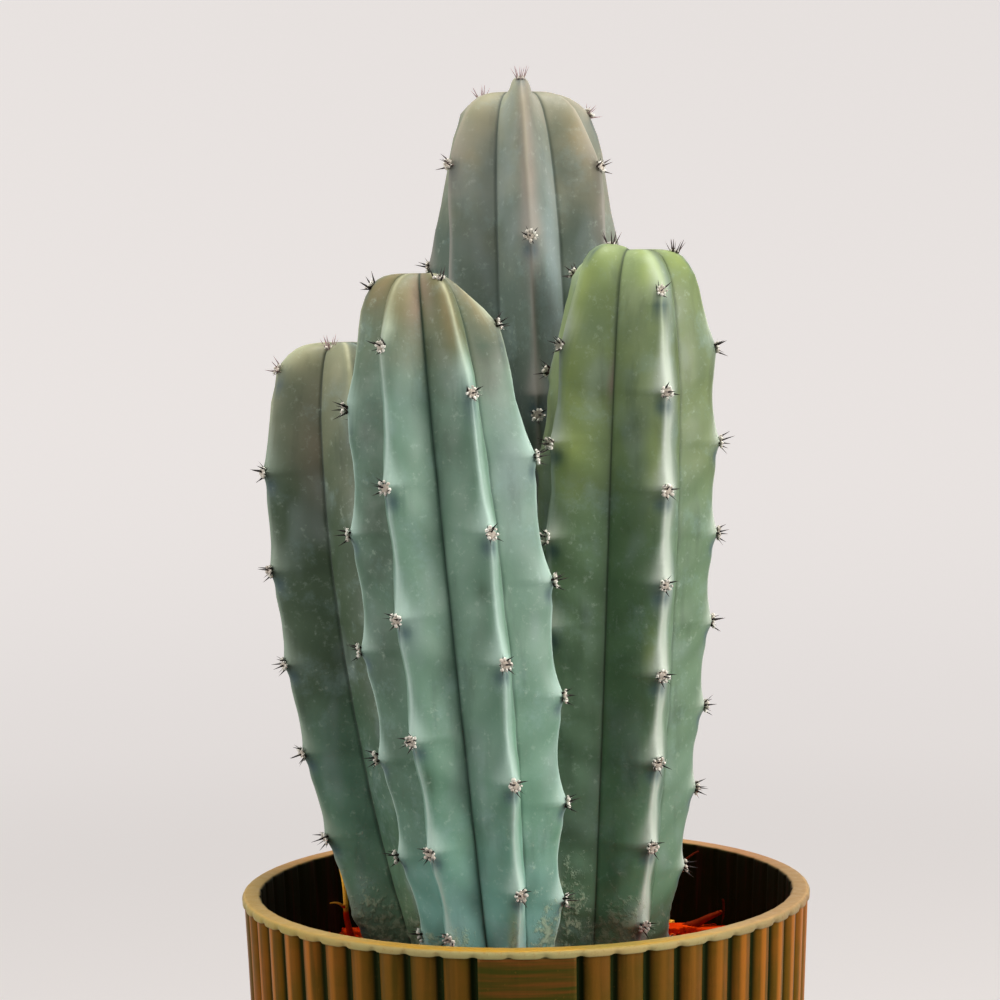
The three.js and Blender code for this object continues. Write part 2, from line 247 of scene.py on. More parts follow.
rightStem = {
    "name": "stem_right", "slot": "stem_skin_green",
    "tip": (36.8, 2, 366), "foot": (22, 4), "bow": 0.8, "twist": 12,
    "radius": 31.5, "footRadius": 24, "shoulderDepth": 90, "domePower": 4.7, "taperPower": 2.8,
    "grooveRatio": 0.64, "recess": 2.4, "areoleShrink": 0.45,
    "ribs": ((-55, -1.5, 31.4, 2.3), (20, 13, 31.4), (93, 0, 31.4), (168, 20, 31.4), (240, 7, 31.4)),
    "shade": ((0.155, 0.33, 0.185), (0.155, 0.29, 0.16), (0.115, 0.2, 0.092), (0.3, 0.38, 0.17)),
    "sun": ((0.1, 0.17, 0.1), (0.125, 0.2, 0.14), (0.115, 0.185, 0.1), (0.105, 0.14, 0.045)),
    "ramp": (0.52, 0.8), "crest": (0.49, 0.54, 0.46), "crestTop": (0.28, 0.37, 0.13),
    "groove": (0.025, 0.045, 0.02), "litShoulders": {1: 0.65},
    "young": 0.1, "crowned": (), "trimmed": {}, "fingerWidth": 9,
    "moved": {(0, 0): (0.1, 0)},
    "patches": {
        "lime": [(0, 0.25, 62, 0.35, 13, 0.6), (1, -0.12, 5, 0.3, 8, 0.9), (0, 0.3, 5, 0.6, 7, 0.3),
                 (2, -0.3, 4, 0.6, 7, 0.6), (0, 0.12, 25, 0.15, 20, 0.5), (1, -0.15, 62, 0.12, 14, 0.5),
                 (1, -0.15, 124, 0.1, 8, 0.4)],
        "rosy": [(0, 0.97, 42, 0.08, 4, 0.8)],
        "deep": [(0, 0.5, 150, 0.9, 55, 0.5), (1, -0.5, 150, 0.5, 20, 0.25), (0, 0.6, 215, 0.9, 24, 0.5),
                 (0, 0.5, 22, 0.4, 10, 0.3), (0, 0.5, 195, 0.5, 25, 0.35)],
        "haze": [(1, 0.25, 48, 0.25, 40, 0.4), (1, -0.4, 52, 0.3, 10, 0.2)],
        "cork": [(0, 0.4, 200, 0.5, 14, 0.5), (1, -0.4, 208, 0.5, 10, 0.45)],
    },
}
leftStem = {
    "name": "stem_left", "slot": "stem_skin_blue",
    "tip": (-56, 12, 338.3), "foot": (-29.5, 18), "bow": -5.8, "twist": 0,
    "radius": 31, "footRadius": 23.5, "shoulderDepth": 70, "domePower": 4.8, "taperPower": 2.5,
    "grooveRatio": 0.56, "recess": 1.7, "areoleShrink": 0.6,
    "ribs": ((-62, 8, 33), (10, 24, 33), (82, 4, 33), (154, 18, 33), (226, 1, 33)),
    "shade": ((0.13, 0.22, 0.115), (0.056, 0.118, 0.075), (0.058, 0.088, 0.048), (0.23, 0.235, 0.145)),
    "sun": ((0.26, 0.46, 0.33), (0.15, 0.3, 0.21), (0.08, 0.125, 0.074), (0.12, 0.14, 0.1)),
    "ramp": (0.7, 1.0), "crest": (0.25, 0.31, 0.24), "crestTop": (0.5, 0.48, 0.28),
    "groove": (0.012, 0.024, 0.014), "litShoulders": {},
    "young": 0.8, "crowned": (1,), "trimmed": {}, "fingerWidth": 3,
    "moved": {(1, 0): (1.4, -0.8), (4, 0): None, (0, 6): None},
    "patches": {
        "rosy": [(0, 0.85, 34, 0.4, 22, 0.3)],
        "cream": [(0, 0.3, 3, 0.8, 6, 0.6), (1, -0.3, 5, 0.7, 7, 0.3)],
        "deep": [(0, 0.4, 195, 0.6, 20, 0.3)],
        "cork": [(0, 0.5, 186, 0.8, 20, 0.42), (1, -0.5, 190, 0.4, 18, 0.4)],
    },
}
backStem = {
    "name": "stem_back", "slot": "stem_skin_grey",
    "tip": (1.8, 61, 419.5), "foot": (5, 54), "bow": 2, "twist": 0,
    "radius": 35, "footRadius": 22, "shoulderDepth": 80, "domePower": 5, "taperPower": 2,
    "grooveRatio": 0.66, "recess": 2.8, "areoleShrink": 0.3,
    "ribs": ((2.5, -4, 52.5, 4.8), (57, 25.7, 52), (105, 7, 52), (155, 34, 52),
             (205, 16, 52), (256, 6, 52, 0, 0.18), (307, 24.1, 52)),
    "shade": ((0.1, 0.16, 0.11), (0.09, 0.165, 0.11), (0.095, 0.132, 0.102), (0.34, 0.34, 0.23)),
    "sun": ((0.1, 0.15, 0.1), (0.115, 0.17, 0.115), (0.138, 0.165, 0.14), (0.26, 0.23, 0.165)),
    "ramp": (0.8, 1.0), "crest": (0.24, 0.225, 0.195), "crestTop": (0.36, 0.32, 0.23),
    "groove": (0.035, 0.055, 0.045), "litShoulders": {},
    "young": 1.0, "crowned": (), "trimmed": {}, "fingerWidth": 4.3,
    "moved": {(0, 2): (106, 0), (5, 0): (1.1, 0)},
    "patches": {
        "rosy": [(0, 0.05, 25, 0.22, 32, 0.8), (1, 0.3, 45, 0.5, 30, 0.5), (6, 0, 29, 0.25, 6, 0.5)],
        "cream": [(6, 0.3, 4, 0.6, 6, 0.4)],
        "haze": [(0, 0.6, 50, 0.4, 50, 0.5), (0, -0.5, 40, 0.4, 30, 0.2)],
        "deep": [(0, 0, 85, 0.9, 35, 0.4), (5, 0.4, 60, 0.8, 30, 0.3)],
        "tan": [(1, -0.2, 15, 0.3, 10, 0.8), (6, 0.3, 16, 0.4, 10, 0.5)],
    },
}
stems = (frontStem, rightStem, leftStem, backStem)


def stemLength(stem):
    return stem["tip"][2] - stemShape["soilTop"]


def ribRows(stem):
    return np.array([[*rib, 0, 0][:5] for rib in stem["ribs"]], dtype=float)


# The middle of the stem at a depth below its tip; under the soil it goes straight down
def axisPoint(stem, depth):
    rise = np.maximum(0, 1 - depth / stemLength(stem))
    x = stem["foot"][0] + (stem["tip"][0] - stem["foot"][0]) * rise + stem["bow"] * 4 * rise * (1 - rise)
    y = stem["foot"][1] + (stem["tip"][1] - stem["foot"][1]) * rise
    return x, y, stem["tip"][2] - depth


# Radius of the crests: a dome down to the shoulder, then a column that narrows to the foot
def envelope(stem, depth):
    shoulder, radius = stem["shoulderDepth"], stem["radius"]
    rise = np.clip(1 - depth / shoulder, 0, 1)
    dome = radius * np.maximum(0, 1 - rise ** 2) ** (1 / stem["domePower"])
    share = np.clip((depth - shoulder) / (stemLength(stem) - shoulder), 0, 1)
    column = radius - (radius - stem["footRadius"]) * share ** stem["taperPower"]
    return np.where(depth < shoulder, dome, column)


# How many areoles of a rib lie above a depth, in whole numbers at the areoles
def areolesPassed(stem, rib, depth):
    rows = ribRows(stem)
    first, spacing, shrink = rows[rib, 1], rows[rib, 2], stem["areoleShrink"]
    return (spacing - np.sqrt(spacing ** 2 - 4 * shrink * (depth - first))) / (2 * shrink)


# Across runs from -1 in the groove before a rib, through 0 on its crest, to 1 in the groove after it
def stemSurface(stem, rib, across, depth, swell=0.0, proud=0.0):
    shape, rows, length = stemShape, ribRows(stem), stemLength(stem)
    count = len(rows)
    girth = envelope(stem, depth)
    crownShare = np.maximum(0, 1 - depth / shape["crownDepth"])
    passed = areolesPassed(stem, rib, np.minimum(depth, length))
    wave = np.sin(math.pi * (passed % 1) ** shape["recessSkew"]) ** shape["recessPower"]
    recess = stem["recess"] * wave * np.minimum(1, girth / shape["recessFullRadius"])
    rounding = shape["crestRounding"] * (1 + swell)
    reach = np.hypot(1, rounding) - rounding
    flank = np.maximum(0, 1 - (np.hypot(across, rounding) - rounding) / reach) ** shape["flankPower"]
    groove = girth * stem["grooveRatio"]
    trimmed = np.array([stem["trimmed"].get(number, 0) for number in range(count)])[rib]
    crest = girth * (1 - rows[rib, 4] * crownShare - trimmed * crownShare ** shape["trimPower"])
    radius = groove + (crest - groove) * flank - recess * flank ** shape["recessFade"] + proud
    beside = rows[(rib + np.sign(across).astype(int)) % count, 0]
    gap = (np.sign(across) * (beside - rows[rib, 0])) % 360
    turn = stem["twist"] * np.minimum(1, depth / length)
    azimuth = np.radians(rows[rib, 0] + across * gap / 2 + turn)
    x, y, z = axisPoint(stem, depth)
    dx, dy = around(radius, azimuth)
    fromCrest = np.abs(across) * math.pi / count * girth
    lift = rows[rib, 3] * crownShare ** 2 * np.minimum(1, girth / (shape["liftReach"] * stem["radius"]))
    lift = lift * np.exp(-(fromCrest / stem["fingerWidth"]) ** 8) * (1 - across ** 2)
    return np.stack(np.broadcast_arrays(x + dx, y + dy, z + lift)), azimuth, flank


# The depth and the place across of every areole of a rib
def areolePlaces(stem, index):
    first, spacing = stem["ribs"][index][1:3]
    highest, lowest = stemShape["highestAreole"], stemLength(stem) - stemShape["areoleAboveSoil"]
    places = [(highest, 0)] if index in stem["crowned"] else []
    count, depth = 0, first
    while depth < lowest:
        places.append((max(depth, highest), 0))
        count += 1
        depth = first + spacing * count - stem["areoleShrink"] * count ** 2
    places = [stem["moved"].get((index, number), place) for number, place in enumerate(places)]
    return [place for place in places if place]


# 1 where every distance is 0, falling off smoothly over each one's reach
def hill(*parts):
    return np.exp(-sum((distance / reach) ** 2 for distance, reach in parts))


# How much of a kind of patch there is at each point of the skin
def patchShare(stem, kind, rib, across, depth):
    share = np.zeros(len(depth))
    for onRib, middle, deep, wide, tall, strength in stem["patches"].get(kind, ()):
        share += strength * (rib == onRib) * hill((across - middle, wide), (depth - deep, tall))
    return share


# The deep tone is dark green: painted shade where most deep patches lie, and random darker drifts.
patchTones = {
    "rosy": (0.31, 0.21, 0.165), "lime": (0.34, 0.42, 0.1), "deep": (0.035, 0.075, 0.038),
    "haze": (0.28, 0.34, 0.35), "cream": (0.46, 0.43, 0.25), "tan": (0.34, 0.25, 0.13),
}
# The dimple tone is painted shade below an areole; the other tones are the skin's own colours.
skinTones = {
    "rib": (0.5, 0.5, 0.5), "fold": (0.26, 0.3, 0.26), "bloom": (0.3, 0.42, 0.42),
    "streak": (0.35, 0.38, 0.36), "fine": (0.4, 0.47, 0.4), "dimple": (0.035, 0.07, 0.085),
    "speck": (0.42, 0.46, 0.36), "scar": (0.05, 0.075, 0.03), "corkDark": (0.045, 0.075, 0.03),
    "corkPale": (0.3, 0.38, 0.25),
}


def skinMaterial(stem):
    tones = skinTones
    material, tree, shader = newMaterial(stem["name"].replace("stem", "skin"))
    rise, ridge, paintedGrooveShade, fold, dimple = marksOf(tree, "rise", "ridge", "paintedGrooveShade", "fold", "dimple")
    cork, halo, rib, paintedSunSide, shoulder = marksOf(tree, "cork", "halo", "rib", "paintedSunSide", "shoulder")
    skin, tall = placed(tree), placed(tree, (1, 1, 0.22))
    broad = cloud(skin, 26, 4.0)
    streak = cloud(tall, 150, 4.0)
    fine = cloud(skin, 420, 5.0, 0.65)
    dust = cloud(skin, 75, 6.0, 0.7)
    drift = cloud(placed(tree, (1, 1, 0.5)), 60, 2.0)

    wander = maths("ADD", rise, times(maths("SUBTRACT", broad, 0.5), 0.35))
    lower, middle = spread(wander, 0.08, 0.28), spread(wander, 0.2, 0.55)
    upper = spread(wander, *stem["ramp"])
    shade, sun = (coats(foot, (lower, low), (middle, mid), (upper, top))
                  for foot, low, mid, top in (stem["shade"], stem["sun"]))
    # painted light and shade: the sun colours on flanks that face right, the shade colours on flanks that
    # face left
    body = blend(paintedSunSide, shade, sun)
    # soft drifts of colour over the whole skin, then the patches, the deep ones mostly painted shade
    body = coats(
        body,
        (spread(rib, 0, 1, 0.0, 0.3), tones["rib"], "SOFT_LIGHT"),
        (spread(drift, 0.52, 0.72, 0.0, 0.3), patchTones["haze"]),
        (spread(drift, 0.48, 0.3, 0.0, 0.25), patchTones["deep"]))
    ragged = spread(broad, 0.35, 0.6, 0.55, 1.2)
    for kind, patchTone in patchTones.items():
        body = blend(times(*marksOf(tree, kind), ragged), body, patchTone)
    # chevron bands, wax bloom, fine streaks, painted shade in the groove, painted highlight on the right
    # shoulder of some crests, crest line, halo, and painted shade in the bluish dimple below an areole
    pale = times(ridge, spread(dust, 0.25, 0.6, 0.55, 0.95))
    crest = blend(spread(rise, 0.82, 0.98, 0.0, 0.85), stem["crest"], stem["crestTop"])
    body = coats(
        body,
        (times(fold, 0.35), tones["fold"], "OVERLAY"),
        (times(spread(dust, 0.5, 0.72), 0.22), tones["bloom"]),
        (spread(streak, 0.52, 0.75, 0.0, 0.4), tones["streak"], "MULTIPLY"),
        (spread(fine, 0.55, 0.75, 0.0, 0.22), tones["fine"], "SCREEN"),
        (times(paintedGrooveShade, 0.84), stem["groove"]),
        (shoulder, stem["crest"]),
        (pale, crest),
        (times(halo, 0.4), stem["crest"]),
        (times(dimple, 0.75), tones["dimple"]))
    # corky old skin, mostly near the soil, pale specks and dark scars
    crumbs = maths("ADD", times(fine, 1.9), times(dust, 0.6))
    barked = spread(maths("ADD", cork, maths("SUBTRACT", crumbs, 1.22)), 0.35, 0.75)
    corkTone = blend(spread(fine, 0.4, 0.62), tones["corkDark"], tones["corkPale"])
    specked = times(spread(cells(skin, 260), 0.2, 0.1), spread(dust, 0.52, 0.62))
    scarred = times(spread(cells(tall, 70), 0.16, 0.06), spread(broad, 0.56, 0.64))
    body = coats(
        body,
        (times(barked, 0.75), corkTone),
        (times(specked, 0.12), tones["speck"]),
        (times(scarred, 0.6), tones["scar"]))
    gloss = maths("ADD", spread(dust, 0.3, 0.75, 0.42, 0.66), times(barked, 0.25))
    bumps = relief(barked, 0.4, 0.6, relief(dust, 0.22, 0.5, relief(fine, 0.16, 0.2)))
    plug(shader, {"Base Color": body, "Roughness": gloss, "Specular IOR Level": 0.35, "Normal": bumps})
    return material


def buildSkin(stem, seed):
    shape, rows, length = stemShape, ribRows(stem), stemLength(stem)
    side = np.array(shape["stations"])
    stations = np.concatenate((-side[:0:-1], side[:-1]))
    perRib, ribCount = len(stations), len(rows)
    shares = np.array(shape["crownShares"])
    dome = stem["shoulderDepth"] * (1 - np.sqrt(1 - shares ** stem["domePower"]))
    steps = max(2, round((length - dome[-1]) / shape["ringStep"]))
    body = np.linspace(length, dome[-1], steps, endpoint=False)
    roots = length + np.array((shape["rootDepth"], shape["rootDepth"], *shape["rootSteps"]))
    depths = np.concatenate((roots, body, dome[::-1], (0,)))
    bm, column, level = spunShell(ribCount * perRib, len(depths))

    across = stations[column % perRib]
    rib, depth = column // perRib, depths[level]
    aside, sideways = np.abs(across), across * shape["halfRib"]
    under, formDepth = np.maximum(0, depth - length), np.minimum(depth, length)
    passed, spacing = areolesPassed(stem, rib, formDepth), rows[rib, 2]
    # how far each point lies above the next areole and below the last one
    above, below = (1 - passed % 1) * spacing, passed % 1 * spacing
    swells = ((above, *shape["swell"]), (below, *shape["lowSwell"]), (formDepth, *shape["tipSwell"]))
    swell = sum(height * hill((distance, reach)) for distance, height, reach in swells)
    flat, _, flank = stemSurface(stem, rib, across, formDepth, swell)
    girth = envelope(stem, formDepth)
    halfGap = math.pi / ribCount * girth
    fromCrest, fromGroove = aside * halfGap, (1 - aside) * halfGap * stem["grooveRatio"]

    raised = shape["lump"] * ripples(*flat, shape["lumpSize"], seed)
    raised += shape["grain"] * ripples(*flat, shape["grainSize"], seed + 9)
    folds = passed * shape["foldsPerAreole"] - shape["foldSlope"] * aside
    folds = folds + shape["foldBend"] * ripples(*flat, shape["foldBendSize"], seed + 4)
    foldWave = np.sin(2 * math.pi * folds) * (1 - aside) ** shape["foldFade"]
    foldWave = foldWave * np.minimum(1, aside * shape["foldStart"])
    raised += shape["fold"] * foldWave
    dimple = hill((below - shape["dimpleDrop"], shape["dimpleHeight"]),
                  (np.abs(sideways) - shape["dimpleAside"], shape["dimpleWidth"]))
    raised -= shape["dimple"] * dimple
    raised -= shape["slit"] * hill((fromGroove, shape["slitWidth"]))
    nearSoil = np.clip(1 - (length - formDepth) / shape["creaseHeight"], 0, 1)
    creases = np.sin(flat[2] * shape["creaseTurn"] + 2 * ripples(*flat, shape["creaseSize"], seed))
    raised -= shape["crease"] * nearSoil * (1 + creases)
    raised *= np.minimum(1, girth / shape["plainRadius"])

    spots = stemSurface(stem, rib, across, formDepth, swell, raised)[0]
    middle = np.maximum(0, 1 - girth / (shape["dipReach"] * stem["radius"]))
    spots[2] -= shape["crownDip"] * middle ** shape["dipPower"]
    spots[2] -= under
    taper = 1 - (1 - shape["rootTaper"]) * np.minimum(1, under / shape["rootDepth"])
    taper = np.where((level == 0) | (level == len(depths) - 1), 0, taper)
    for axis, centre in enumerate(axisPoint(stem, formDepth)[:2]):
        spots[axis] = centre + (spots[axis] - centre) * taper

    crumbly = np.maximum(0, ripples(*flat, shape["corkSize"], seed + 20))
    cork = shape["corkFoot"] * nearSoil ** shape["corkFade"] + shape["corkCrumbs"] * crumbly * nearSoil
    aged = np.clip(depth / length - shape["corkAge"], 0, 1)
    cork += shape["corkScar"] * hill((below, shape["scarHeight"]), (sideways, shape["scarWidth"])) * aged
    cork += patchShare(stem, "cork", rib, across, formDepth)
    halo = hill((above, shape["haloReach"]), (across, shape["haloWidth"]))
    halo += shape["lowHalo"] * hill((below, shape["lowHaloReach"]), (across, shape["lowHaloWidth"]))
    ridgeWidth = shape["ridgeWidth"] + shape["ridgeSpread"] * hill((above, shape["ridgeReach"]))
    # painted highlight beside the crest, on the right side of the ribs a stem lists as shoulders
    shoulder = sum(share * (rib == number) for number, share in stem["litShoulders"].items())
    shoulder = shoulder * np.clip(depth / shape["shoulderStart"] - 1, 0, 1) * (across > 0)
    # which way each flank faces, mixing its painted light (right) and painted shade (left)
    facing = np.clip(across * shape["sideSharpness"], -1, 1)
    facing = np.radians(rows[rib, 0] + shape["sideTurn"] * facing)
    marks = {kind: patchShare(stem, kind, rib, across, formDepth) for kind in patchTones}
    marks |= {
        "paintedSunSide": 0.5 + 0.5 * np.sin(facing),
        "shoulder": shoulder * hill((fromCrest - shape["shoulderAside"], shape["shoulderWidth"])),
        "rise": 1 - formDepth / length, "ridge": hill((fromCrest, ridgeWidth)),
        # painted shade along the groove
        "paintedGrooveShade": hill((fromGroove, shape["grooveShadeWidth"])),
        # the dimple mark carries painted shade below an areole
        "fold": 0.5 + 0.5 * foldWave, "dimple": dimple * (flank > shape["dimpleFlank"]), "cork": cork,
        "halo": np.clip(halo, 0, 1), "rib": 0.5 + 0.5 * np.sin(rib * shape["ribTurn"] + seed),
    }
    name = stem["name"]
    finishPiece(name + "_skin", bm, skinMaterial(stem), (name,), spots, marks)


# Areoles: a ring of woolly tufts round a felt pad, short hairs, and the spines. A growing top has a fan
# of long thin ones.

areoleShape = {
    # a pair is the least and the most that a random draw gives
    "reach": 1.5, "pad": (1.45, 1.4, 0.5), "padSink": 0.15, "padRough": 0.12, "padTint": 0.3,
    "growth": 0.2, "growthDepth": 60, "shrink": 0.15, "shrinkAge": 0.7,
    "brightness": 0.9, "dulling": 0.35, "dullingAge": 0.6, "brightSpread": (-0.1, 0.03),
    "tufts": 8, "tuftTurn": (-0.25, 0.25), "tuftRing": 1.75, "tuftSpread": (0.85, 1.12), "tuftSize": 0.73,
    "tuftForm": (1, 0.75, 0.85), "tuftRough": 0.2, "tuftLift": (-0.1, 0.35), "tuftGirth": (0.65, 1.25),
    "tuftTint": (0.4, 1.05),
    "hairs": 12, "hairLength": 1.5, "hairRadius": 0.07, "hairSplay": (0.5, 1.9), "hairSpread": (0.7, 1.8),
    "hairStretch": (0.6, 1.3),
    "spineSpacing": 0.72, "spineSink": 1.7, "spineLength": 5.6, "spineStretch": (0.86, 1.0),
    "spineRadius": 0.47, "spineThinning": 0.35, "spineSides": 6, "spikeTip": 0.06,
    "fanTurn": 0.5, "fanSway": 1.1, "fanStep": 2.3,
    "radialSpacing": 0.9, "radialSink": 0.8, "radialRadius": 0.24, "radialGirth": (0.8, 1.1),
    "radialTurn": (-0.2, 0.2), "radialSway": (0.7, 1.2),
    "centralSink": 1.2, "centralLength": (4.8, 6.0), "centralRadius": 0.44, "centralThinning": 0.4,
    "centralSway": (-0.35, 0.35), "centralRise": (-0.1, 0.45),
    "crownDepth": 1.5, "youngStart": 1.25, "youngDepth": 22,
    "crownTufts": 9, "crownTurn": 2.4, "crownReach": 0.55, "crownSink": 1.9, "crownForm": (0.9, 0.8, 0.9),
    "crownTint": (0.6, 0.9),
    "grown": {"size": 0.8, "splay": 0.55, "stretch": 1, "radials": 2, "radialSplay": 1.1,
              "radialLength": (3.2, 4.4)},
    "crown": {"size": 0.65, "splay": 0.3, "stretch": 1.15, "radials": 5, "radialSplay": 0.6,
              "radialLength": (6.5, 8.5)},
    "woolDark": (0.3, 0.22, 0.16), "woolPale": (0.93, 0.91, 0.82), "woolRosy": (0.7, 0.52, 0.42),
    "woolShade": (0.35, 0.27, 0.22), "hornFoot": (0.05, 0.032, 0.025), "horn": (0.006, 0.004, 0.004),
    "hornTip": (0.05, 0.03, 0.025), "youngFoot": (0.45, 0.34, 0.32), "youngTip": (0.26, 0.13, 0.15),
    "hornGrain": (0.3, 0.22, 0.18),
}


# Seat of an areole on the stem, and its directions: to the side, down the stem and out of it
def areoleFrame(stem, index, depth, across):
    reach = areoleShape["reach"]
    seat, azimuth = stemSurface(stem, np.array([index]), np.array([float(across)]), np.array([depth]))[:2]
    ends = []
    for near in (max(0, depth - reach), depth + reach):
        x, y, z = axisPoint(stem, near)
        dx, dy = around(envelope(stem, near), azimuth[0])
        ends.append(Vector((float(x + dx), float(y + dy), float(z))))
    down = (ends[1] - ends[0]).normalized()
    side = Vector((math.cos(azimuth[0]), math.sin(azimuth[0]), 0))
    out = down.cross(side).normalized()
    return Vector([float(value[0]) for value in seat]), side, down, out


# Away from the middle of an areole, in its own plane
def spoke(side, down, turn):
    return side * math.cos(turn) + down * math.sin(turn)


def pointedTo(root, direction):
    return Matrix.Translation(root) @ direction.normalized().to_track_quat("Z", "Y").to_matrix().to_4x4()


def addSpike(bm, layers, matrix, radius, length, sides, tint):
    middle = matrix @ Matrix.Translation((0, 0, length / 2))
    cone = bmesh.ops.create_cone(bm, cap_ends=True, segments=sides, radius1=radius,
                                 radius2=radius * areoleShape["spikeTip"], depth=length, matrix=middle)
    back = matrix.inverted()
    for vert in cone["verts"]:
        vert[layers["along"]] = (back @ vert.co).z / length
        vert[layers["tint"]] = tint


def addTuft(bm, layers, matrix, subdivisions, rough, tint, dice):
    verts = bmesh.ops.create_icosphere(bm, subdivisions=subdivisions, radius=1, matrix=matrix)["verts"]
    middle = matrix.translation
    for vert in verts:
        vert.co += (vert.co - middle) * dice.uniform(-rough, rough)
        vert[layers["tint"]] = tint


def newTuftMesh():
    bm = bmesh.new()
    return bm, {name: bm.verts.layers.float.new(name) for name in ("along", "tint")}


# Moves what a small mesh holds into a large one, which is quicker than modelling in the large one
def pour(small, large):
    mesh = bpy.data.meshes.new("bit")
    small.to_mesh(mesh)
    small.free()
    large.from_mesh(mesh)
    bpy.data.meshes.remove(mesh)


def woolMaterial():
    look = areoleShape
    material, tree, shader = newMaterial("areole_wool")
    tint, spot = marksOf(tree, "tint")[0], placed(tree)
    felt = cloud(spot, 900, 6.0, 0.75)
    clump = cloud(spot, 260, 3.0)
    tone = coats(look["woolDark"], (tint, look["woolPale"]),
                 (spread(clump, 0.5, 0.7, 0.0, 0.25), look["woolRosy"]),
                 (spread(felt, 0.3, 0.6, 0.2, 0.0), look["woolShade"], "MULTIPLY"))
    plug(shader, {"Base Color": tone, "Roughness": spread(felt, 0.3, 0.7, 0.85, 1.0), "Sheen Weight": 0.4,
                  "Sheen Roughness": 0.5, "Normal": relief(felt, 0.8, 0.35)})
    return material


def spineMaterial():
    look = areoleShape
    material, tree, shader = newMaterial("spine_horn")
    along, tint = marksOf(tree, "along", "tint")
    grain = cloud(placed(tree), 1200, 3.0)
    old = coats(look["hornFoot"], (spread(along, 0.1, 0.3), look["horn"]),
                (spread(along, 0.8, 1.0, 0.0, 0.5), look["hornTip"]))
    young = blend(spread(along, 0.1, 0.8), look["youngFoot"], look["youngTip"])
    tone = coats(old, (tint, young), (spread(grain, 0.45, 0.7, 0.0, 0.15), look["hornGrain"]))
    plug(shader, {"Base Color": tone, "Roughness": spread(grain, 0.3, 0.7, 0.4, 0.65),
                  "Specular IOR Level": 0.2, "Normal": relief(grain, 0.4, 0.08)})
    return material


def addWool(bm, layers, seating, size, bright, dice):
    shape = areoleShape
    seat, side, down, out = seating
    stand = Matrix((side, -down, out)).transposed().to_4x4()
    pad = stand @ Matrix.Diagonal((*[length * size for length in shape["pad"]], 1))
    pad = Matrix.Translation(seat - out * shape["padSink"]) @ pad
    addTuft(bm, layers, pad, 2, shape["padRough"], shape["padTint"] * bright, dice)
    for i in range(shape["tufts"]):
        turn = 2 * math.pi * (i + dice.uniform(*shape["tuftTurn"])) / shape["tufts"]
        ring = shape["tuftRing"] * size * dice.uniform(*shape["tuftSpread"])
        spot = seat + spoke(side, down, turn) * ring + out * dice.uniform(*shape["tuftLift"])
        girth = shape["tuftSize"] * size * dice.uniform(*shape["tuftGirth"])
        lean = Matrix.Rotation(dice.uniform(0, 3), 4, "Z")
        lean = lean @ Matrix.Diagonal((*[girth * share for share in shape["tuftForm"]], 1))
        tint = bright * dice.uniform(*shape["tuftTint"])
        pose = Matrix.Translation(spot) @ stand @ lean
        addTuft(bm, layers, pose, 1, shape["tuftRough"], tint, dice)
    for i in range(shape["hairs"]):
        turn, splay = dice.uniform(0, 2 * math.pi), dice.uniform(*shape["hairSplay"])
        way = spoke(side, down, turn)
        root = seat + way * dice.uniform(*shape["hairSpread"]) * size
        length = shape["hairLength"] * dice.uniform(*shape["hairStretch"])
        addSpike(bm, layers, pointedTo(root, out + way * splay), shape["hairRadius"], length, 3, bright)


# Three main spines, thin ones between them and a long one in the middle
def addSpines(bm, layers, seating, fan, size, start, young, dice):
    shape, sides = areoleShape, areoleShape["spineSides"]
    seat, side, down, out = seating
    for i in range(3):
        way = spoke(side, down, start + 2 * math.pi * i / 3)
        root = seat + way * shape["spineSpacing"] - out * shape["spineSink"]
        length = shape["spineLength"] * dice.uniform(*shape["spineStretch"]) * fan["stretch"]
        radius = shape["spineRadius"] * (1 - shape["spineThinning"] * young)
        addSpike(bm, layers, pointedTo(root, out + way * fan["splay"]), radius, length, sides, young)
    for i in range(fan["radials"]):
        place = (i + dice.uniform(*shape["radialTurn"])) / max(3, fan["radials"])
        turn = start + math.pi / 3 + 2 * math.pi * place
        way = spoke(side, down, turn)
        root = seat + way * shape["radialSpacing"] - out * shape["radialSink"]
        aim = out + way * fan["radialSplay"] * dice.uniform(*shape["radialSway"])
        radius = shape["radialRadius"] * dice.uniform(*shape["radialGirth"])
        length = dice.uniform(*fan["radialLength"]) * size
        addSpike(bm, layers, pointedTo(root, aim), radius, length, sides, young)
    aim = out + side * dice.uniform(*shape["centralSway"]) - down * dice.uniform(*shape["centralRise"])
    radius = shape["centralRadius"] * (1 - shape["centralThinning"] * young)
    length = dice.uniform(*shape["centralLength"]) * size
    addSpike(bm, layers, pointedTo(seat - out * shape["centralSink"], aim), radius, length, sides, young)


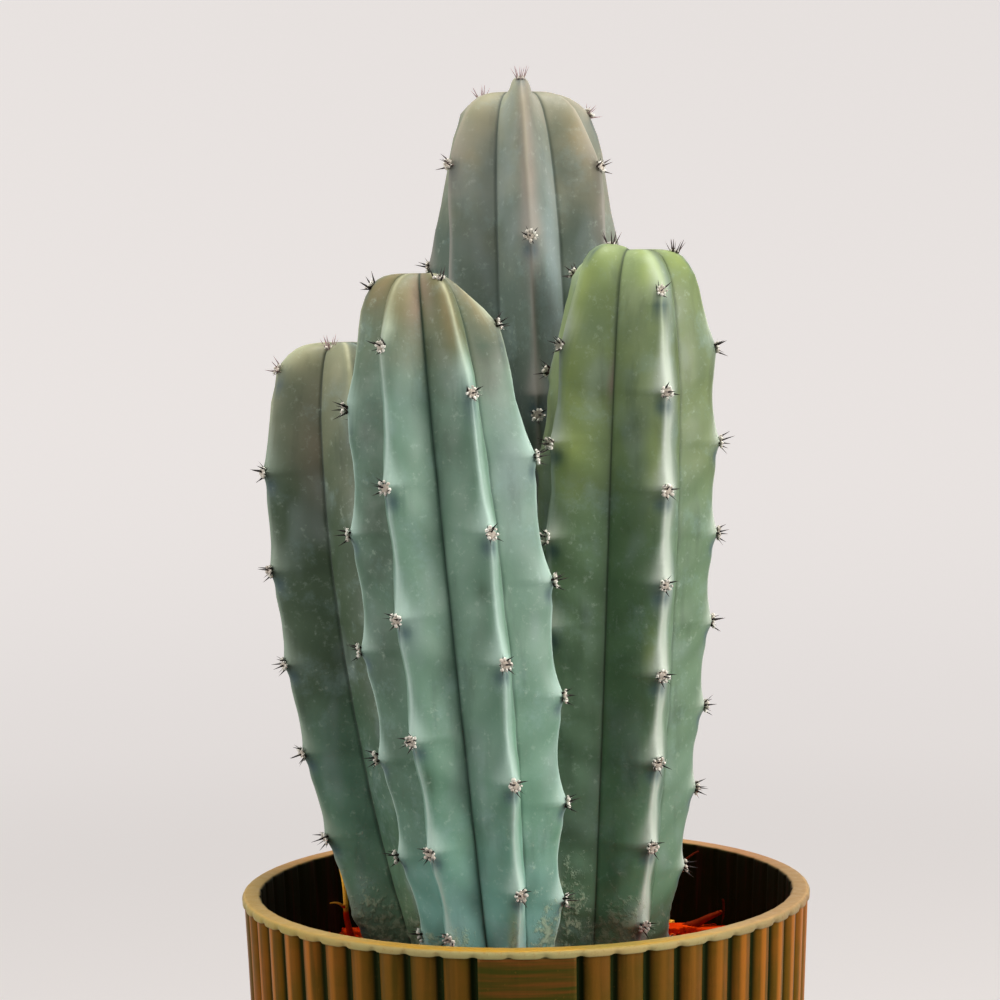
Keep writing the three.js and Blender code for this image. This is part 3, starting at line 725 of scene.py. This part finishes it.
def buildAreoles(stem, seed, wool, horn):
    shape, dice = areoleShape, random.Random(seed)
    woolMesh, spineMesh = newTuftMesh()[0], newTuftMesh()[0]
    for index in range(len(stem["ribs"])):
        for place, (depth, across) in enumerate(areolePlaces(stem, index)):
            seating = areoleFrame(stem, index, depth, across)
            fan = shape["crown" if depth < shape["crownDepth"] else "grown"]
            age = min(1, depth / stemLength(stem))
            size = fan["size"] + shape["growth"] * min(1, depth / shape["growthDepth"])
            size -= shape["shrink"] * max(0, age - shape["shrinkAge"])
            bright = shape["brightness"] - shape["dulling"] * max(0, age - shape["dullingAge"])
            bright += dice.uniform(*shape["brightSpread"])
            pads, layers = newTuftMesh()
            addWool(pads, layers, seating, size, bright, dice)
            pour(pads, woolMesh)
            young = stem["young"] * (shape["youngStart"] - depth / shape["youngDepth"])
            young = max(0.0, min(1.0, young))
            start = shape["fanTurn"] + shape["fanSway"] * math.sin(shape["fanStep"] * place + index)
            spikes, layers = newTuftMesh()
            addSpines(spikes, layers, seating, fan, size, start, young, dice)
            pour(spikes, spineMesh)

    # the woolly growing point in the middle of the crown
    x, y, z = (float(value) for value in axisPoint(stem, 0.0))
    pads, layers = newTuftMesh()
    for i in range(shape["crownTufts"]):
        turn, away = shape["crownTurn"] * i, shape["crownReach"] * math.sqrt(i)
        spot = (x + away * math.cos(turn), y + away * math.sin(turn), z - shape["crownSink"])
        pose = Matrix.Translation(spot) @ Matrix.Diagonal((*shape["crownForm"], 1))
        addTuft(pads, layers, pose, 1, shape["tuftRough"], dice.uniform(*shape["crownTint"]), dice)
    pour(pads, woolMesh)
    finishPiece(stem["name"] + "_wool", woolMesh, wool)
    finishPiece(stem["name"] + "_spines", spineMesh, horn)


# Pot: one wall of upright flutes with a smooth panel in front, a rounded lip and ribs inside

potShape = {
    "height": 165, "rimRadius": 90, "footRadius": 82.6, "fluteTopRadius": 89.4,
    "fluteCount": 54, "fluteDepth": 1.7, "fluteCrown": 0.42, "grooveStart": 0.31,
    "stations": (-0.45, -0.41, -0.36, -0.27, -0.14, 0, 0.14, 0.27, 0.36, 0.41, 0.45, 0.5),
    "lipHeight": 2.6, "lipWidth": 6, "lipRound": 1.4, "lipTop": ((2.4, 0), (3.6, 0.03), (4.9, 0.12)),
    "innerRound": 0.9, "innerDrop": 0.15, "topStart": 164.4, "topBlend": 0.45, "scallop": 0.5,
    "innerRibDepth": 0.5, "floorThickness": 6, "panelFlutes": 2.78, "panelHeight": 24, "panelEdge": 0.7,
    "wobble": 0.1, "wobbleSize": 22, "highlightAside": 0.06, "highlightWidth": 0.3,
    "grooveEase": 0.8, "panelMargin": 0.02, "panelSharpness": 30, "wobbleFrom": 70,
    "wallHeights": (0.9, 3, 12, 30, 50, 70, 90, 108, 124, 133),
    "panelHeights": (142, 148, 154, 158.5, 160.4, 161.3),
    "insideHeights": (162, 159, 154, 147, 139, 131, 110, 60, 8),
    # the dark groove colour is painted shade in the flute grooves
    "glaze": (0.078, 0.048, 0.005), "fluteGrooveShade": (0.003, 0.014, 0.004), "glazeWarm": (0.14, 0.056, 0.009),
    # the light flute colour is a painted highlight down each flute's crown
    "fluteHighlight": (0.3, 0.12, 0.018), "glazeRuns": (0.04, 0.03, 0.004), "glazeBands": (0.03, 0.03, 0.004),
    "glazeSpeck": (0.18, 0.09, 0.015), "panelDark": (0.03, 0.04, 0.006), "panelWarm": (0.15, 0.046, 0.011),
    "lipCream": (0.33, 0.29, 0.125), "lipOchre": (0.37, 0.27, 0.11), "lipSpeck": (0.26, 0.15, 0.05),
    "lipGold": (0.42, 0.22, 0.02), "lipGreen": (0.24, 0.2, 0.05), "lipKhaki": (0.5, 0.36, 0.14),
    # the inside colours are painted shade: the pot's inside near black with faint streaks
    "lipBack": (0.55, 0.3, 0.11), "inside": (0.008, 0.0085, 0.0014), "shadedInsideRuns": (0.035, 0.01, 0.006),
    # the side colour is painted light on the pot's left and right; the two lip tints are painted shade on
    # the lip's left and right
    "paintedLeftLipShade": (0.92, 0.8, 0.56), "paintedRightLipShade": (0.72, 0.6, 0.64), "paintedSideLight": (1.45, 1.12, 0.75),
    "shine": (1.0, 0.6, 0.2),
}


def potProfile():
    shape = potShape
    height, rim, lipBottom = shape["height"], shape["rimRadius"], shape["height"] - shape["lipHeight"]
    widening, ribDepth = shape["fluteTopRadius"] - shape["footRadius"], shape["innerRibDepth"]

    def wall(z):
        return shape["footRadius"] + widening * z / lipBottom

    def inner(z):
        return rim - shape["lipWidth"] - widening * (height - z) / height

    panelFoot = lipBottom - shape["panelHeight"]
    panelEdge = [panelFoot + away for away in (-0.7, -0.25, 0.25, 0.7)]
    # radius, height, groove depth, depth of the inner ribs, share of lip, share of inside
    rows = [(0, 0, 0, 0, 0, 0), (30, 0, 0, 0, 0, 0), (60, 0, 0, 0, 0, 0), (79.5, 0, 0.4, 0, 0, 0),
            (wall(0) - 0.8, 0, 1.1, 0, 0, 0), (wall(0) - 0.25, 0.25, 1.5, 0, 0, 0)]
    heights = [*shape["wallHeights"], *panelEdge, *shape["panelHeights"], lipBottom]
    rows += [(wall(z), z, shape["fluteDepth"], 0, 0, 0) for z in heights]
    rows += [(wall(lipBottom) + 0.1, lipBottom + 0.2, 1.2, 0, 0.6, 0),
             (rim - 0.1, lipBottom + 0.5, 0.62, 0, 1, 0), (rim, lipBottom + 0.8, 0.5, 0, 1, 0),
             (rim, lipBottom + 1.3, 0.36, 0, 1, 0)]
    for i in range(1, 8):
        turn = math.pi / 2 * i / 7
        rows.append((rim - shape["lipRound"] * (1 - math.cos(turn)),
                     height - shape["lipRound"] * (1 - math.sin(turn)), 0.3 * (1 - i / 7), 0, 1, 0))
    rows += [(rim - inward, height - drop, 0, 0, 1, 0) for inward, drop in shape["lipTop"]]
    for i in range(1, 5):
        turn = math.pi / 2 * i / 4
        rows.append((rim - shape["lipWidth"] + shape["innerRound"] * (1 - math.sin(turn)),
                     height - shape["innerDrop"] - shape["innerRound"] * (1 - math.cos(turn)), 0,
                     ribDepth * i / 4, 1 - i / 5, i / 4))
    rows += [(inner(z), z, 0, ribDepth, 0, 1) for z in shape["insideHeights"]]
    floor = shape["floorThickness"]
    rows += [(inner(floor + 1) - 1.2, floor, 0, 0, 0, 1), (40, floor, 0, 0, 0, 1), (0, floor, 0, 0, 0, 1)]
    return np.array(rows, dtype=float), panelFoot


def potMaterial():
    look = potShape
    material, tree, shader = newMaterial("pot_glaze_fluted")
    groove, lip, inside = marksOf(tree, "groove", "lip", "inside")
    panel, crown, top = marksOf(tree, "panel", "crown", "top")
    spot, upright, level = placed(tree), placed(tree, (1, 1, 0.06)), placed(tree, (0.25, 0.25, 5))
    mottle = cloud(spot, 34, 4.0)
    runs = cloud(upright, 300, 4.0)
    speck = cloud(spot, 700, 4.0, 0.7)
    bands = cloud(level, 60, 3.0)
    place = addNode(tree, "SeparateXYZ", {0: spot}).outputs
    aside = spread(maths("ABSOLUTE", place["X"]), 0.03, 0.08)

    # painted highlight down the crown of each flute, stronger on the pot's left and right sides
    shine = times(spread(crown, 0.4, 1.0), spread(aside, 0, 1, 0.3, 0.85))
    smooth = blend(spread(bands, 0.42, 0.62), look["panelDark"], look["panelWarm"])
    wall = coats(
        look["glaze"],
        (spread(mottle, 0.35, 0.68), look["glazeWarm"]),
        (spread(runs, 0.45, 0.7, 0.0, 0.6), look["glazeRuns"]),
        (spread(bands, 0.5, 0.68, 0.0, 0.1), look["glazeBands"]),
        (shine, look["fluteHighlight"]),
        (times(panel, 0.75), smooth),
        # painted light on the pot's left and right sides
        (aside, look["paintedSideLight"], "MULTIPLY"),
        # painted shade in the flute grooves
        (spread(groove, 0.15, 0.75, 0.0, 0.95), look["fluteGrooveShade"]),
        (spread(speck, 0.62, 0.74, 0.0, 0.4), look["glazeSpeck"]))
    # the top side of the lip runs from gold in front through khaki to the back's tone
    gilt = coats(
        look["lipGold"],
        (spread(mottle, 0.45, 0.62, 0.0, 0.7), look["lipGreen"]),
        (spread(place["Y"], -0.085, -0.06), look["lipKhaki"]),
        (spread(place["Y"], 0.01, 0.05), look["lipBack"]))
    rim = coats(
        look["lipCream"],
        (spread(mottle, 0.4, 0.65), look["lipOchre"]),
        (spread(speck, 0.52, 0.72, 0.0, 0.6), look["lipSpeck"]),
        (times(top, spread(speck, 0.3, 0.6, 0.75, 1.0)), gilt),
        # painted shade on the lip's left and right sides
        (spread(place["X"], -0.03, -0.08), look["paintedLeftLipShade"], "MULTIPLY"),
        (spread(place["X"], 0.03, 0.08), look["paintedRightLipShade"], "MULTIPLY"))
    # painted shade over the inside of the pot, with faint streaks
    insideShade = blend(spread(runs, 0.5, 0.75), look["inside"], look["shadedInsideRuns"])
    tone = coats(wall, (lip, rim), (spread(inside, 0.1, 0.7), insideShade))
    sheen = maths("ADD", spread(runs, 0.3, 0.7, 0.34, 0.5), times(inside, 0.4))
    bumps = relief(runs, 0.3, 0.5, relief(speck, 0.35, 0.2))
    plug(shader, {"Base Color": tone, "Roughness": sheen, "Specular IOR Level": 0.1,
                  "Specular Tint": (*look["shine"], 1), "Normal": bumps})
    return material


def buildPot():
    shape = potShape
    rows, panelFoot = potProfile()
    stations = np.array(shape["stations"])
    bm, column, level = spunShell(shape["fluteCount"] * len(stations), len(rows))
    across = stations[column % len(stations)]
    flute = column // len(stations)
    azimuth = 2 * math.pi * (flute + across) / shape["fluteCount"]
    radius, height, cut, ribs, lip, inside = rows[level].T

    depth = np.clip((np.abs(across) - shape["grooveStart"]) / (0.5 - shape["grooveStart"]), 0, 1)
    depth = 0.5 - 0.5 * np.cos(math.pi * depth ** shape["grooveEase"])
    crowned = shape["fluteCrown"] * np.minimum(1, np.abs(across) / shape["grooveStart"]) ** 2
    turned = (azimuth + math.pi) % (2 * math.pi) - math.pi
    sideways = np.abs(turned) * shape["fluteCount"] / (2 * math.pi)
    panel = shape["panelFlutes"] / 2 + shape["panelMargin"] - sideways
    panel = np.clip(panel * shape["panelSharpness"], 0, 1)
    panel *= np.clip((height - panelFoot) / shape["panelEdge"] + 0.5, 0, 1) * (lip < 0.1) * (inside < 0.1)
    groove = depth * (1 - panel)
    outside = cut * (groove + crowned * (1 - panel) * np.minimum(1, cut))
    lipBottom = shape["height"] - shape["lipHeight"]
    underLip = (lip > 0.9) * np.clip(1 - (height - lipBottom) / 2, 0, 1)
    height = height - shape["scallop"] * (1 - depth) * underLip
    wobble = shape["wobble"] * ripples(*around(radius, azimuth), height, shape["wobbleSize"], 3.0)
    wobble = wobble * (radius > shape["wobbleFrom"]) * (1 - lip)
    radius = radius - outside + ribs * depth * (inside > 0) + wobble
    crown = 1 - np.clip(np.abs(across + shape["highlightAside"]) / shape["highlightWidth"], 0, 1)
    marks = {
        "groove": groove * (cut > 0.9), "crown": crown * (1 - panel) * (1 - inside), "lip": lip,
        "inside": inside, "panel": panel,
        "top": np.clip((height - shape["topStart"]) / shape["topBlend"], 0, 1) * lip,
    }
    spots = (*around(radius, azimuth), height)
    finishPiece("pot_fluted", bm, potMaterial(), ("pot",), spots, marks)


# Potting mix: a lumpy surface with bark chips, slabs, fibres and a few strands that stand up from it

soilShape = {
    "top": 137.5, "lump": 1.1, "wave": (0.16, 0.19), "ripple": (0.35, 0.31), "rippleShare": 0.6,
    "columns": 144, "rings": 46, "radius": 82.3, "bottomRadius": 77.1, "bottom": 6.3,
    "clod": 1.5, "clodSize": 7, "crumb": 0.7, "crumbSize": 2.6,
    "chips": 900, "chipSize": (0.8, 3.4), "chipSkew": 2.2, "chipReach": 80.5, "chipRise": 0.25,
    "chipForm": ((0.8, 1.9), (0.5, 0.9), (0.3, 0.7)), "chipRough": 0.22, "chipBatch": 60,
    "stemMargin": -1.5, "slabRough": (-0.07, 0.07), "slabSmoothing": 0.4,
    "chipTurns": ((0, 6.3, "Z"), (-0.5, 0.5, "X"), (-0.4, 0.4, "Y")),
    "threads": 46, "threadReach": 78, "threadPoints": 6, "threadStep": 3.2, "threadBend": 0.6,
    "threadEdge": 79, "threadRise": 0.8, "threadLift": (0, 1.3), "threadRadius": (0.16, 0.34),
    "threadTone": (0.3, 1), "threadTaper": 0.6,
    "warm": ((0.34, 0.022, 0.003), (0.55, 0.045, 0.004)),
    "dark": ((0.1, 0.012, 0.004), (0.28, 0.018, 0.003)),
    "vivid": ((0.78, 0.028, 0.001), (0.92, 0.055, 0.0015)), "pale": (1.0, 0.5, 0.06),
    "dull": (0.12, 0.015, 0.005), "damp": (0.12, 0.03, 0.012),
}

# flat slabs of bark: place, size, turn, tilt and tone
slabs = (
    ((54, 49, 138.9), (13, 7, 2.4), 8, 3, 0.5), ((62, 44, 139.2), (9, 6, 2), -20, -4, 0.55),
    ((48, 44, 139.4), (8, 5, 2.2), 30, 5, 0.6), ((-58, 49, 139), (7.5, 6, 2.4), 15, 4, 0.55),
    ((-52, -52, 139), (8, 5, 2), 40, 5, 0.4), ((20, -66, 139), (9, 5, 2), -10, 3, 0.5),
    ((-66, -8, 139), (8, 5, 2), 70, -4, 0.6), ((2, 18, 139), (9, 6, 2), 25, 4, 0.45),
    ((60, -30, 139), (9, 5, 2), -50, 4, 0.5),
)

# dry strands that stand up from the mix: points, radius, and tone at the bottom and at the top
strandShape = {
    "leftStrand": ([(-56, 26, 138), (-58.8, 21, 149), (-58.7, 20, 156), (-59, 20, 161), (-59.8, 20, 166),
                    (-61.4, 20, 171)], 1.2, (0.2, 1.0)),
    "leftFleck": ([(-58.6, 20.6, 153.5), (-60, 18.6, 155.4), (-62, 17, 156.6), (-63.6, 16, 156.4)],
                  0.55, (0.4, 0.97)),
    "rightSliver": ([(50, 51, 137.5), (56, 48, 140), (61.6, 46, 143.4), (65.6, 45, 145.2)],
                    1.9, (0.55, 0.12)),
    "dullStrand": ([(66.5, 51, 139), (66.9, 50, 144), (66.6, 50, 147), (66.2, 50, 148.4)],
                   0.9, (0.0, 0.0)),
    "wallRoot": ([(52, 60, 158), (55.6, 60, 160.8), (58, 60, 162.5), (61.1, 60, 163.1),
                  (66.5, 57.5, 162.5)], 0.5, (0.12, 0.02)),
}


def soilHeight(x, y):
    shape = soilShape
    wave = np.cos(x * shape["wave"][0]) * np.cos(y * shape["wave"][1])
    ripple = np.sin(x * shape["ripple"][0] - y * shape["ripple"][1])
    return shape["top"] + shape["lump"] * (wave + shape["rippleShare"] * ripple)


# Loose bits are brighter than the mix, and their tint runs from dull through vivid to pale
def soilMaterial(name, loose):
    look = soilShape
    material, tree, shader = newMaterial(name)
    tint, spot = marksOf(tree, "tint")[0], placed(tree)
    clods = cloud(spot, 110, 4.0)
    crumbs = cloud(spot, 520, 6.0, 0.7)
    warm = blend(spread(clods, 0.35, 0.62), *look["warm"])
    dark = blend(spread(crumbs, 0.4, 0.6), *look["dark"])
    tone = blend(spread(clods, 0.46, 0.64, 0.0, 0.8), warm, dark)
    if loose:
        vivid = blend(spread(clods, 0.35, 0.62), *look["vivid"])
        tone = coats(tone, (spread(tint, 0.3, 0.5), vivid), (spread(tint, 0.9, 1.0), look["pale"]),
                     (spread(tint, 0.25, 0.02), look["dull"]))
    tone = blend(spread(crumbs, 0.56, 0.7, 0.0, 0.5), tone, look["damp"], "MULTIPLY")
    plug(shader, {"Base Color": tone, "Roughness": spread(crumbs, 0.3, 0.7, 0.75, 1.0),
                  "Specular IOR Level": 0.02, "Normal": relief(crumbs, 0.8, 0.8)})
    return material


def buildSoil():
    shape = soilShape
    shares = np.linspace(1, 0, shape["rings"], endpoint=False)
    bm, column, level = spunShell(shape["columns"], len(shares) + 3)
    azimuth = 2 * math.pi * column / shape["columns"]
    ring = np.clip(level - 2, 0, len(shares) - 1)
    radius = np.where(level <= 1, shape["bottomRadius"], shares[ring] * shape["radius"])
    radius = np.where((level == 0) | (level == len(shares) + 2), 0, radius)
    x, y = around(radius, azimuth)
    flat = np.zeros_like(x)
    rough = shape["clod"] * ripples(x, y, flat, shape["clodSize"])
    rough += shape["crumb"] * ripples(x, y, flat, shape["crumbSize"], 5)
    z = np.where(level <= 1, shape["bottom"], soilHeight(x, y) + rough)
    mix, marks = soilMaterial("potting_mix", False), {"tint": np.full_like(x, 0.5)}
    finishPiece("soil_surface", bm, mix, ("soil",), (x, y, z), marks)


def inStem(x, y, margin):
    return any(math.dist((x, y), stem["foot"]) < stem["footRadius"] + margin for stem in stems)


def buildChips():
    shape, dice = soilShape, random.Random(41)
    smallest, largest = shape["chipSize"]
    chips = newTuftMesh()[0]
    made = 0
    bits, layers = newTuftMesh()
    while made < shape["chips"]:
        away, turn = shape["chipReach"] * math.sqrt(dice.random()), dice.uniform(0, 2 * math.pi)
        x, y = away * math.cos(turn), away * math.sin(turn)
        if inStem(x, y, shape["stemMargin"]):
            continue
        size = smallest + (largest - smallest) * dice.random() ** shape["chipSkew"]
        pose = Matrix.Translation((x, y, float(soilHeight(x, y)) + size * shape["chipRise"]))
        for least, most, axis in shape["chipTurns"]:
            pose = pose @ Matrix.Rotation(dice.uniform(least, most), 4, axis)
        form = [size * dice.uniform(*limits) for limits in shape["chipForm"]]
        pose = pose @ Matrix.Diagonal((*form, 1))
        addTuft(bits, layers, pose, 1, shape["chipRough"], dice.random(), dice)
        made += 1
        if made % shape["chipBatch"] == 0:
            pour(bits, chips)
            bits, layers = newTuftMesh()
    pour(bits, chips)

    for spot, size, turn, tilt, tone in slabs:
        bits, layers = newTuftMesh()
        bmesh.ops.create_cube(bits, size=1)
        bmesh.ops.subdivide_edges(bits, edges=bits.edges[:], cuts=3, use_grid_fill=True)
        for vert in bits.verts:
            vert.co += Vector([dice.uniform(*shape["slabRough"]) for axis in range(3)])
        bmesh.ops.smooth_vert(bits, verts=bits.verts[:], factor=shape["slabSmoothing"],
                              use_axis_x=True, use_axis_y=True, use_axis_z=True)
        pose = Matrix.Translation(spot) @ Matrix.Rotation(math.radians(turn), 4, "Z")
        pose = pose @ Matrix.Rotation(math.radians(tilt), 4, "Y") @ Matrix.Diagonal((*size, 1))
        bmesh.ops.transform(bits, matrix=pose, verts=bits.verts[:])
        for vert in bits.verts:
            vert[layers["tint"]] = tone
        pour(bits, chips)
    finishPiece("soil_chips", chips, soilMaterial("bark_chips", True))


# A round strand that tapers towards its end
def strand(points, radius):
    curve = bpy.data.curves.new("thread", "CURVE")
    curve.dimensions = "3D"
    curve.bevel_depth = radius
    curve.bevel_resolution = 1
    curve.resolution_u = 6
    curve.use_fill_caps = True
    spline = curve.splines.new("NURBS")
    spline.points.add(len(points) - 1)
    for i, (point, spot) in enumerate(zip(points, spline.points)):
        spot.co = (*point, 1)
        spot.radius = 1 - soilShape["threadTaper"] * i / (len(points) - 1)
    spline.order_u = 3
    spline.use_endpoint_u = True
    holder = bpy.data.objects.new("thread", curve)
    mesh = bpy.data.meshes.new_from_object(holder)
    bpy.data.objects.remove(holder)
    bpy.data.curves.remove(curve)
    return mesh


def buildThreads():
    shape, dice = soilShape, random.Random(7)
    bm = bmesh.new()
    tint = bm.verts.layers.float.new("tint")
    paths = list(strandShape.values())
    for i in range(shape["threads"]):
        away, turn = shape["threadReach"] * math.sqrt(dice.random()), dice.uniform(0, 2 * math.pi)
        x, y, heading = away * math.cos(turn), away * math.sin(turn), dice.uniform(0, 2 * math.pi)
        points = []
        for k in range(shape["threadPoints"]):
            inside = min(1, shape["threadEdge"] / max(1, math.hypot(x, y)))
            x, y = x * inside, y * inside
            lift = shape["threadRise"] + dice.uniform(*shape["threadLift"])
            points.append((x, y, float(soilHeight(x, y)) + lift))
            heading += dice.uniform(-shape["threadBend"], shape["threadBend"])
            x, y = x + shape["threadStep"] * math.cos(heading), y + shape["threadStep"] * math.sin(heading)
        radius, tone = dice.uniform(*shape["threadRadius"]), dice.uniform(*shape["threadTone"])
        paths.append((points, radius, (tone, tone)))
    for points, radius, (toneLow, toneHigh) in paths:
        before = len(bm.verts)
        mesh = strand(points, radius)
        bm.from_mesh(mesh)
        bpy.data.meshes.remove(mesh)
        bm.verts.ensure_lookup_table()
        added = bm.verts[before:]
        low, high = (pick(vert.co.z for vert in added) for pick in (min, max))
        for vert in added:
            rise = min(1, 2 * (vert.co.z - low) / max(1, high - low))
            vert[tint] = toneLow + (toneHigh - toneLow) * rise
    bmesh.ops.remove_doubles(bm, verts=bm.verts, dist=1e-4)
    bmesh.ops.recalc_face_normals(bm, faces=bm.faces)
    finishPiece("soil_fibres", bm, soilMaterial("dry_fibre", True))


# Studio: a pale floor that curves up into a wall all round, soft lights and the camera

studio = {
    "floorRadius": 1.55, "wallRadius": 3.4, "wallHeight": 4.0, "wallSteps": 40, "sides": 96,
    "paint": (0.76, 0.715, 0.695), "glowColour": (1.0, 0.955, 0.94),
    "glowNear": 0.15, "glowFar": 0.43, "glowBand": 0.045,
    "skyColour": (1.0, 1.0, 1.0), "skyFront": 0.22, "skySides": 0.38, "skyBack": 0.25, "skyTop": 0.22,
    "lampColour": (1.0, 0.98, 0.94), "aim": (0, 0, 0.26),
    "key": {"place": (1.4, -0.6, 0.5), "size": 0.8, "power": 12.3, "spread": 130},
    "fill": {"place": (-1.3, -0.6, 0.5), "size": 0.8, "power": 5.6, "spread": 130},
    "top": {"place": (0.1, 0, 1.0), "size": 0.4, "power": 0.45, "spread": 40},
}


def buildBowl():
    look = studio
    bm = bmesh.new()
    spots = [(0, 0), (0.5, 0), (1, 0), (look["floorRadius"], 0)]
    reach = look["wallRadius"] - look["floorRadius"]
    for i in range(1, look["wallSteps"] + 1):
        share = i / look["wallSteps"]
        radius = look["floorRadius"] + reach * (1 - (1 - share) ** 2)
        spots.append((radius, look["wallHeight"] * share ** 3))
    verts = [bm.verts.new((r, 0, z)) for r, z in spots]
    edges = [bm.edges.new(pair) for pair in zip(verts, verts[1:])]
    bmesh.ops.spin(bm, geom=verts + edges, cent=(0, 0, 0), axis=(0, 0, 1), angle=2 * math.pi,
                   steps=look["sides"], use_merge=True)
    bmesh.ops.remove_doubles(bm, verts=bm.verts, dist=1e-4)
    bmesh.ops.recalc_face_normals(bm, faces=bm.faces)
    bmesh.ops.reverse_faces(bm, faces=bm.faces)
    material, tree, shader = newMaterial("studio_paint")
    spot = addNode(tree, "TexCoord").outputs["Object"]
    away = addNode(tree, "VectorMath", {0: spot}, operation="LENGTH").outputs["Value"]
    glow = spread(away, 0.4, 3.5, look["glowNear"], look["glowFar"])
    # a little more where the floor turns up, which the lamps leave dimmer
    band = times(spread(away, 0.8, 1.35, 0.0, look["glowBand"]), spread(away, 2.5, 1.35))
    glow = maths("ADD", glow, band)
    plug(shader, {"Base Color": (*look["paint"], 1), "Roughness": 0.9, "Specular IOR Level": 0.1,
                  "Emission Color": (*look["glowColour"], 1), "Emission Strength": glow})
    bowl = addObject("studio_bowl", smoothMesh("studio_bowl", bm, material))
    # the open sky lights the plant as if the bowl weren't there
    bowl.visible_diffuse = False
    bowl.visible_glossy = False
    bowl.visible_shadow = False


def buildLights():
    look = studio
    world = bpy.data.worlds.new("soft_sky")
    world.use_nodes = True
    tree = world.node_tree
    way = addNode(tree, "SeparateXYZ", {0: addNode(tree, "TexCoord").outputs["Generated"]}).outputs
    sides = times(maths("POWER", maths("ABSOLUTE", way["X"]), 1.5), look["skySides"])
    back = spread(way["Y"], -0.4, 0.9, look["skyFront"], look["skyFront"] + look["skyBack"])
    above = times(maths("MAXIMUM", way["Z"], 0.0), look["skyTop"])
    strength = maths("ADD", maths("ADD", sides, back), above)
    plug(tree.nodes["Background"], {"Color": (*look["skyColour"], 1), "Strength": strength})
    bpy.context.scene.world = world

    for name in ("key", "fill", "top"):
        row = look[name]
        lamp = bpy.data.lights.new(name + "_softbox", "AREA")
        lamp.shape = "DISK"
        lamp.size = row["size"]
        lamp.energy = row["power"]
        lamp.color = look["lampColour"]
        lamp.spread = math.radians(row["spread"])
        place = Vector(row["place"])
        turn = (place - Vector(look["aim"])).to_track_quat("Z", "Y")
        addObject(lamp.name, lamp).matrix_world = Matrix.Translation(place) @ turn.to_matrix().to_4x4()


cameraSetup = {
    "place": (0, -0.88, 0.354), "lens": 100.8, "sensor": 36, "yaw": -0.40, "pitch": 4.29, "roll": -0.95,
}


def buildCamera():
    yaw, pitch, roll = (math.radians(cameraSetup[key]) for key in ("yaw", "pitch", "roll"))
    ahead = Vector((math.sin(yaw) * math.cos(pitch), math.cos(yaw) * math.cos(pitch), -math.sin(pitch)))
    level = Vector((math.cos(yaw), -math.sin(yaw), 0))
    upright = level.cross(ahead)
    right = level * math.cos(roll) + upright * math.sin(roll)
    top = upright * math.cos(roll) - level * math.sin(roll)
    data = bpy.data.cameras.new("camera")
    data.lens = cameraSetup["lens"]
    data.sensor_width = cameraSetup["sensor"]
    holder = addObject("camera", data)
    turn = Matrix((right, top, -ahead)).transposed().to_4x4()
    holder.matrix_world = Matrix.Translation(cameraSetup["place"]) @ turn
    bpy.context.scene.camera = holder


buildCamera()
buildBowl()
buildLights()
print("camera and studio ready")
buildPot()
buildSoil()
buildChips()
buildThreads()
woolFelt, spineHorn = woolMaterial(), spineMaterial()
for number, stemRow in enumerate(stems):
    buildSkin(stemRow, 3.7 * number + 1)
    buildAreoles(stemRow, 11 + number, woolFelt, spineHorn)

bpy.context.scene.view_settings.view_transform = "Standard"
bpy.context.scene.view_settings.look = "None"
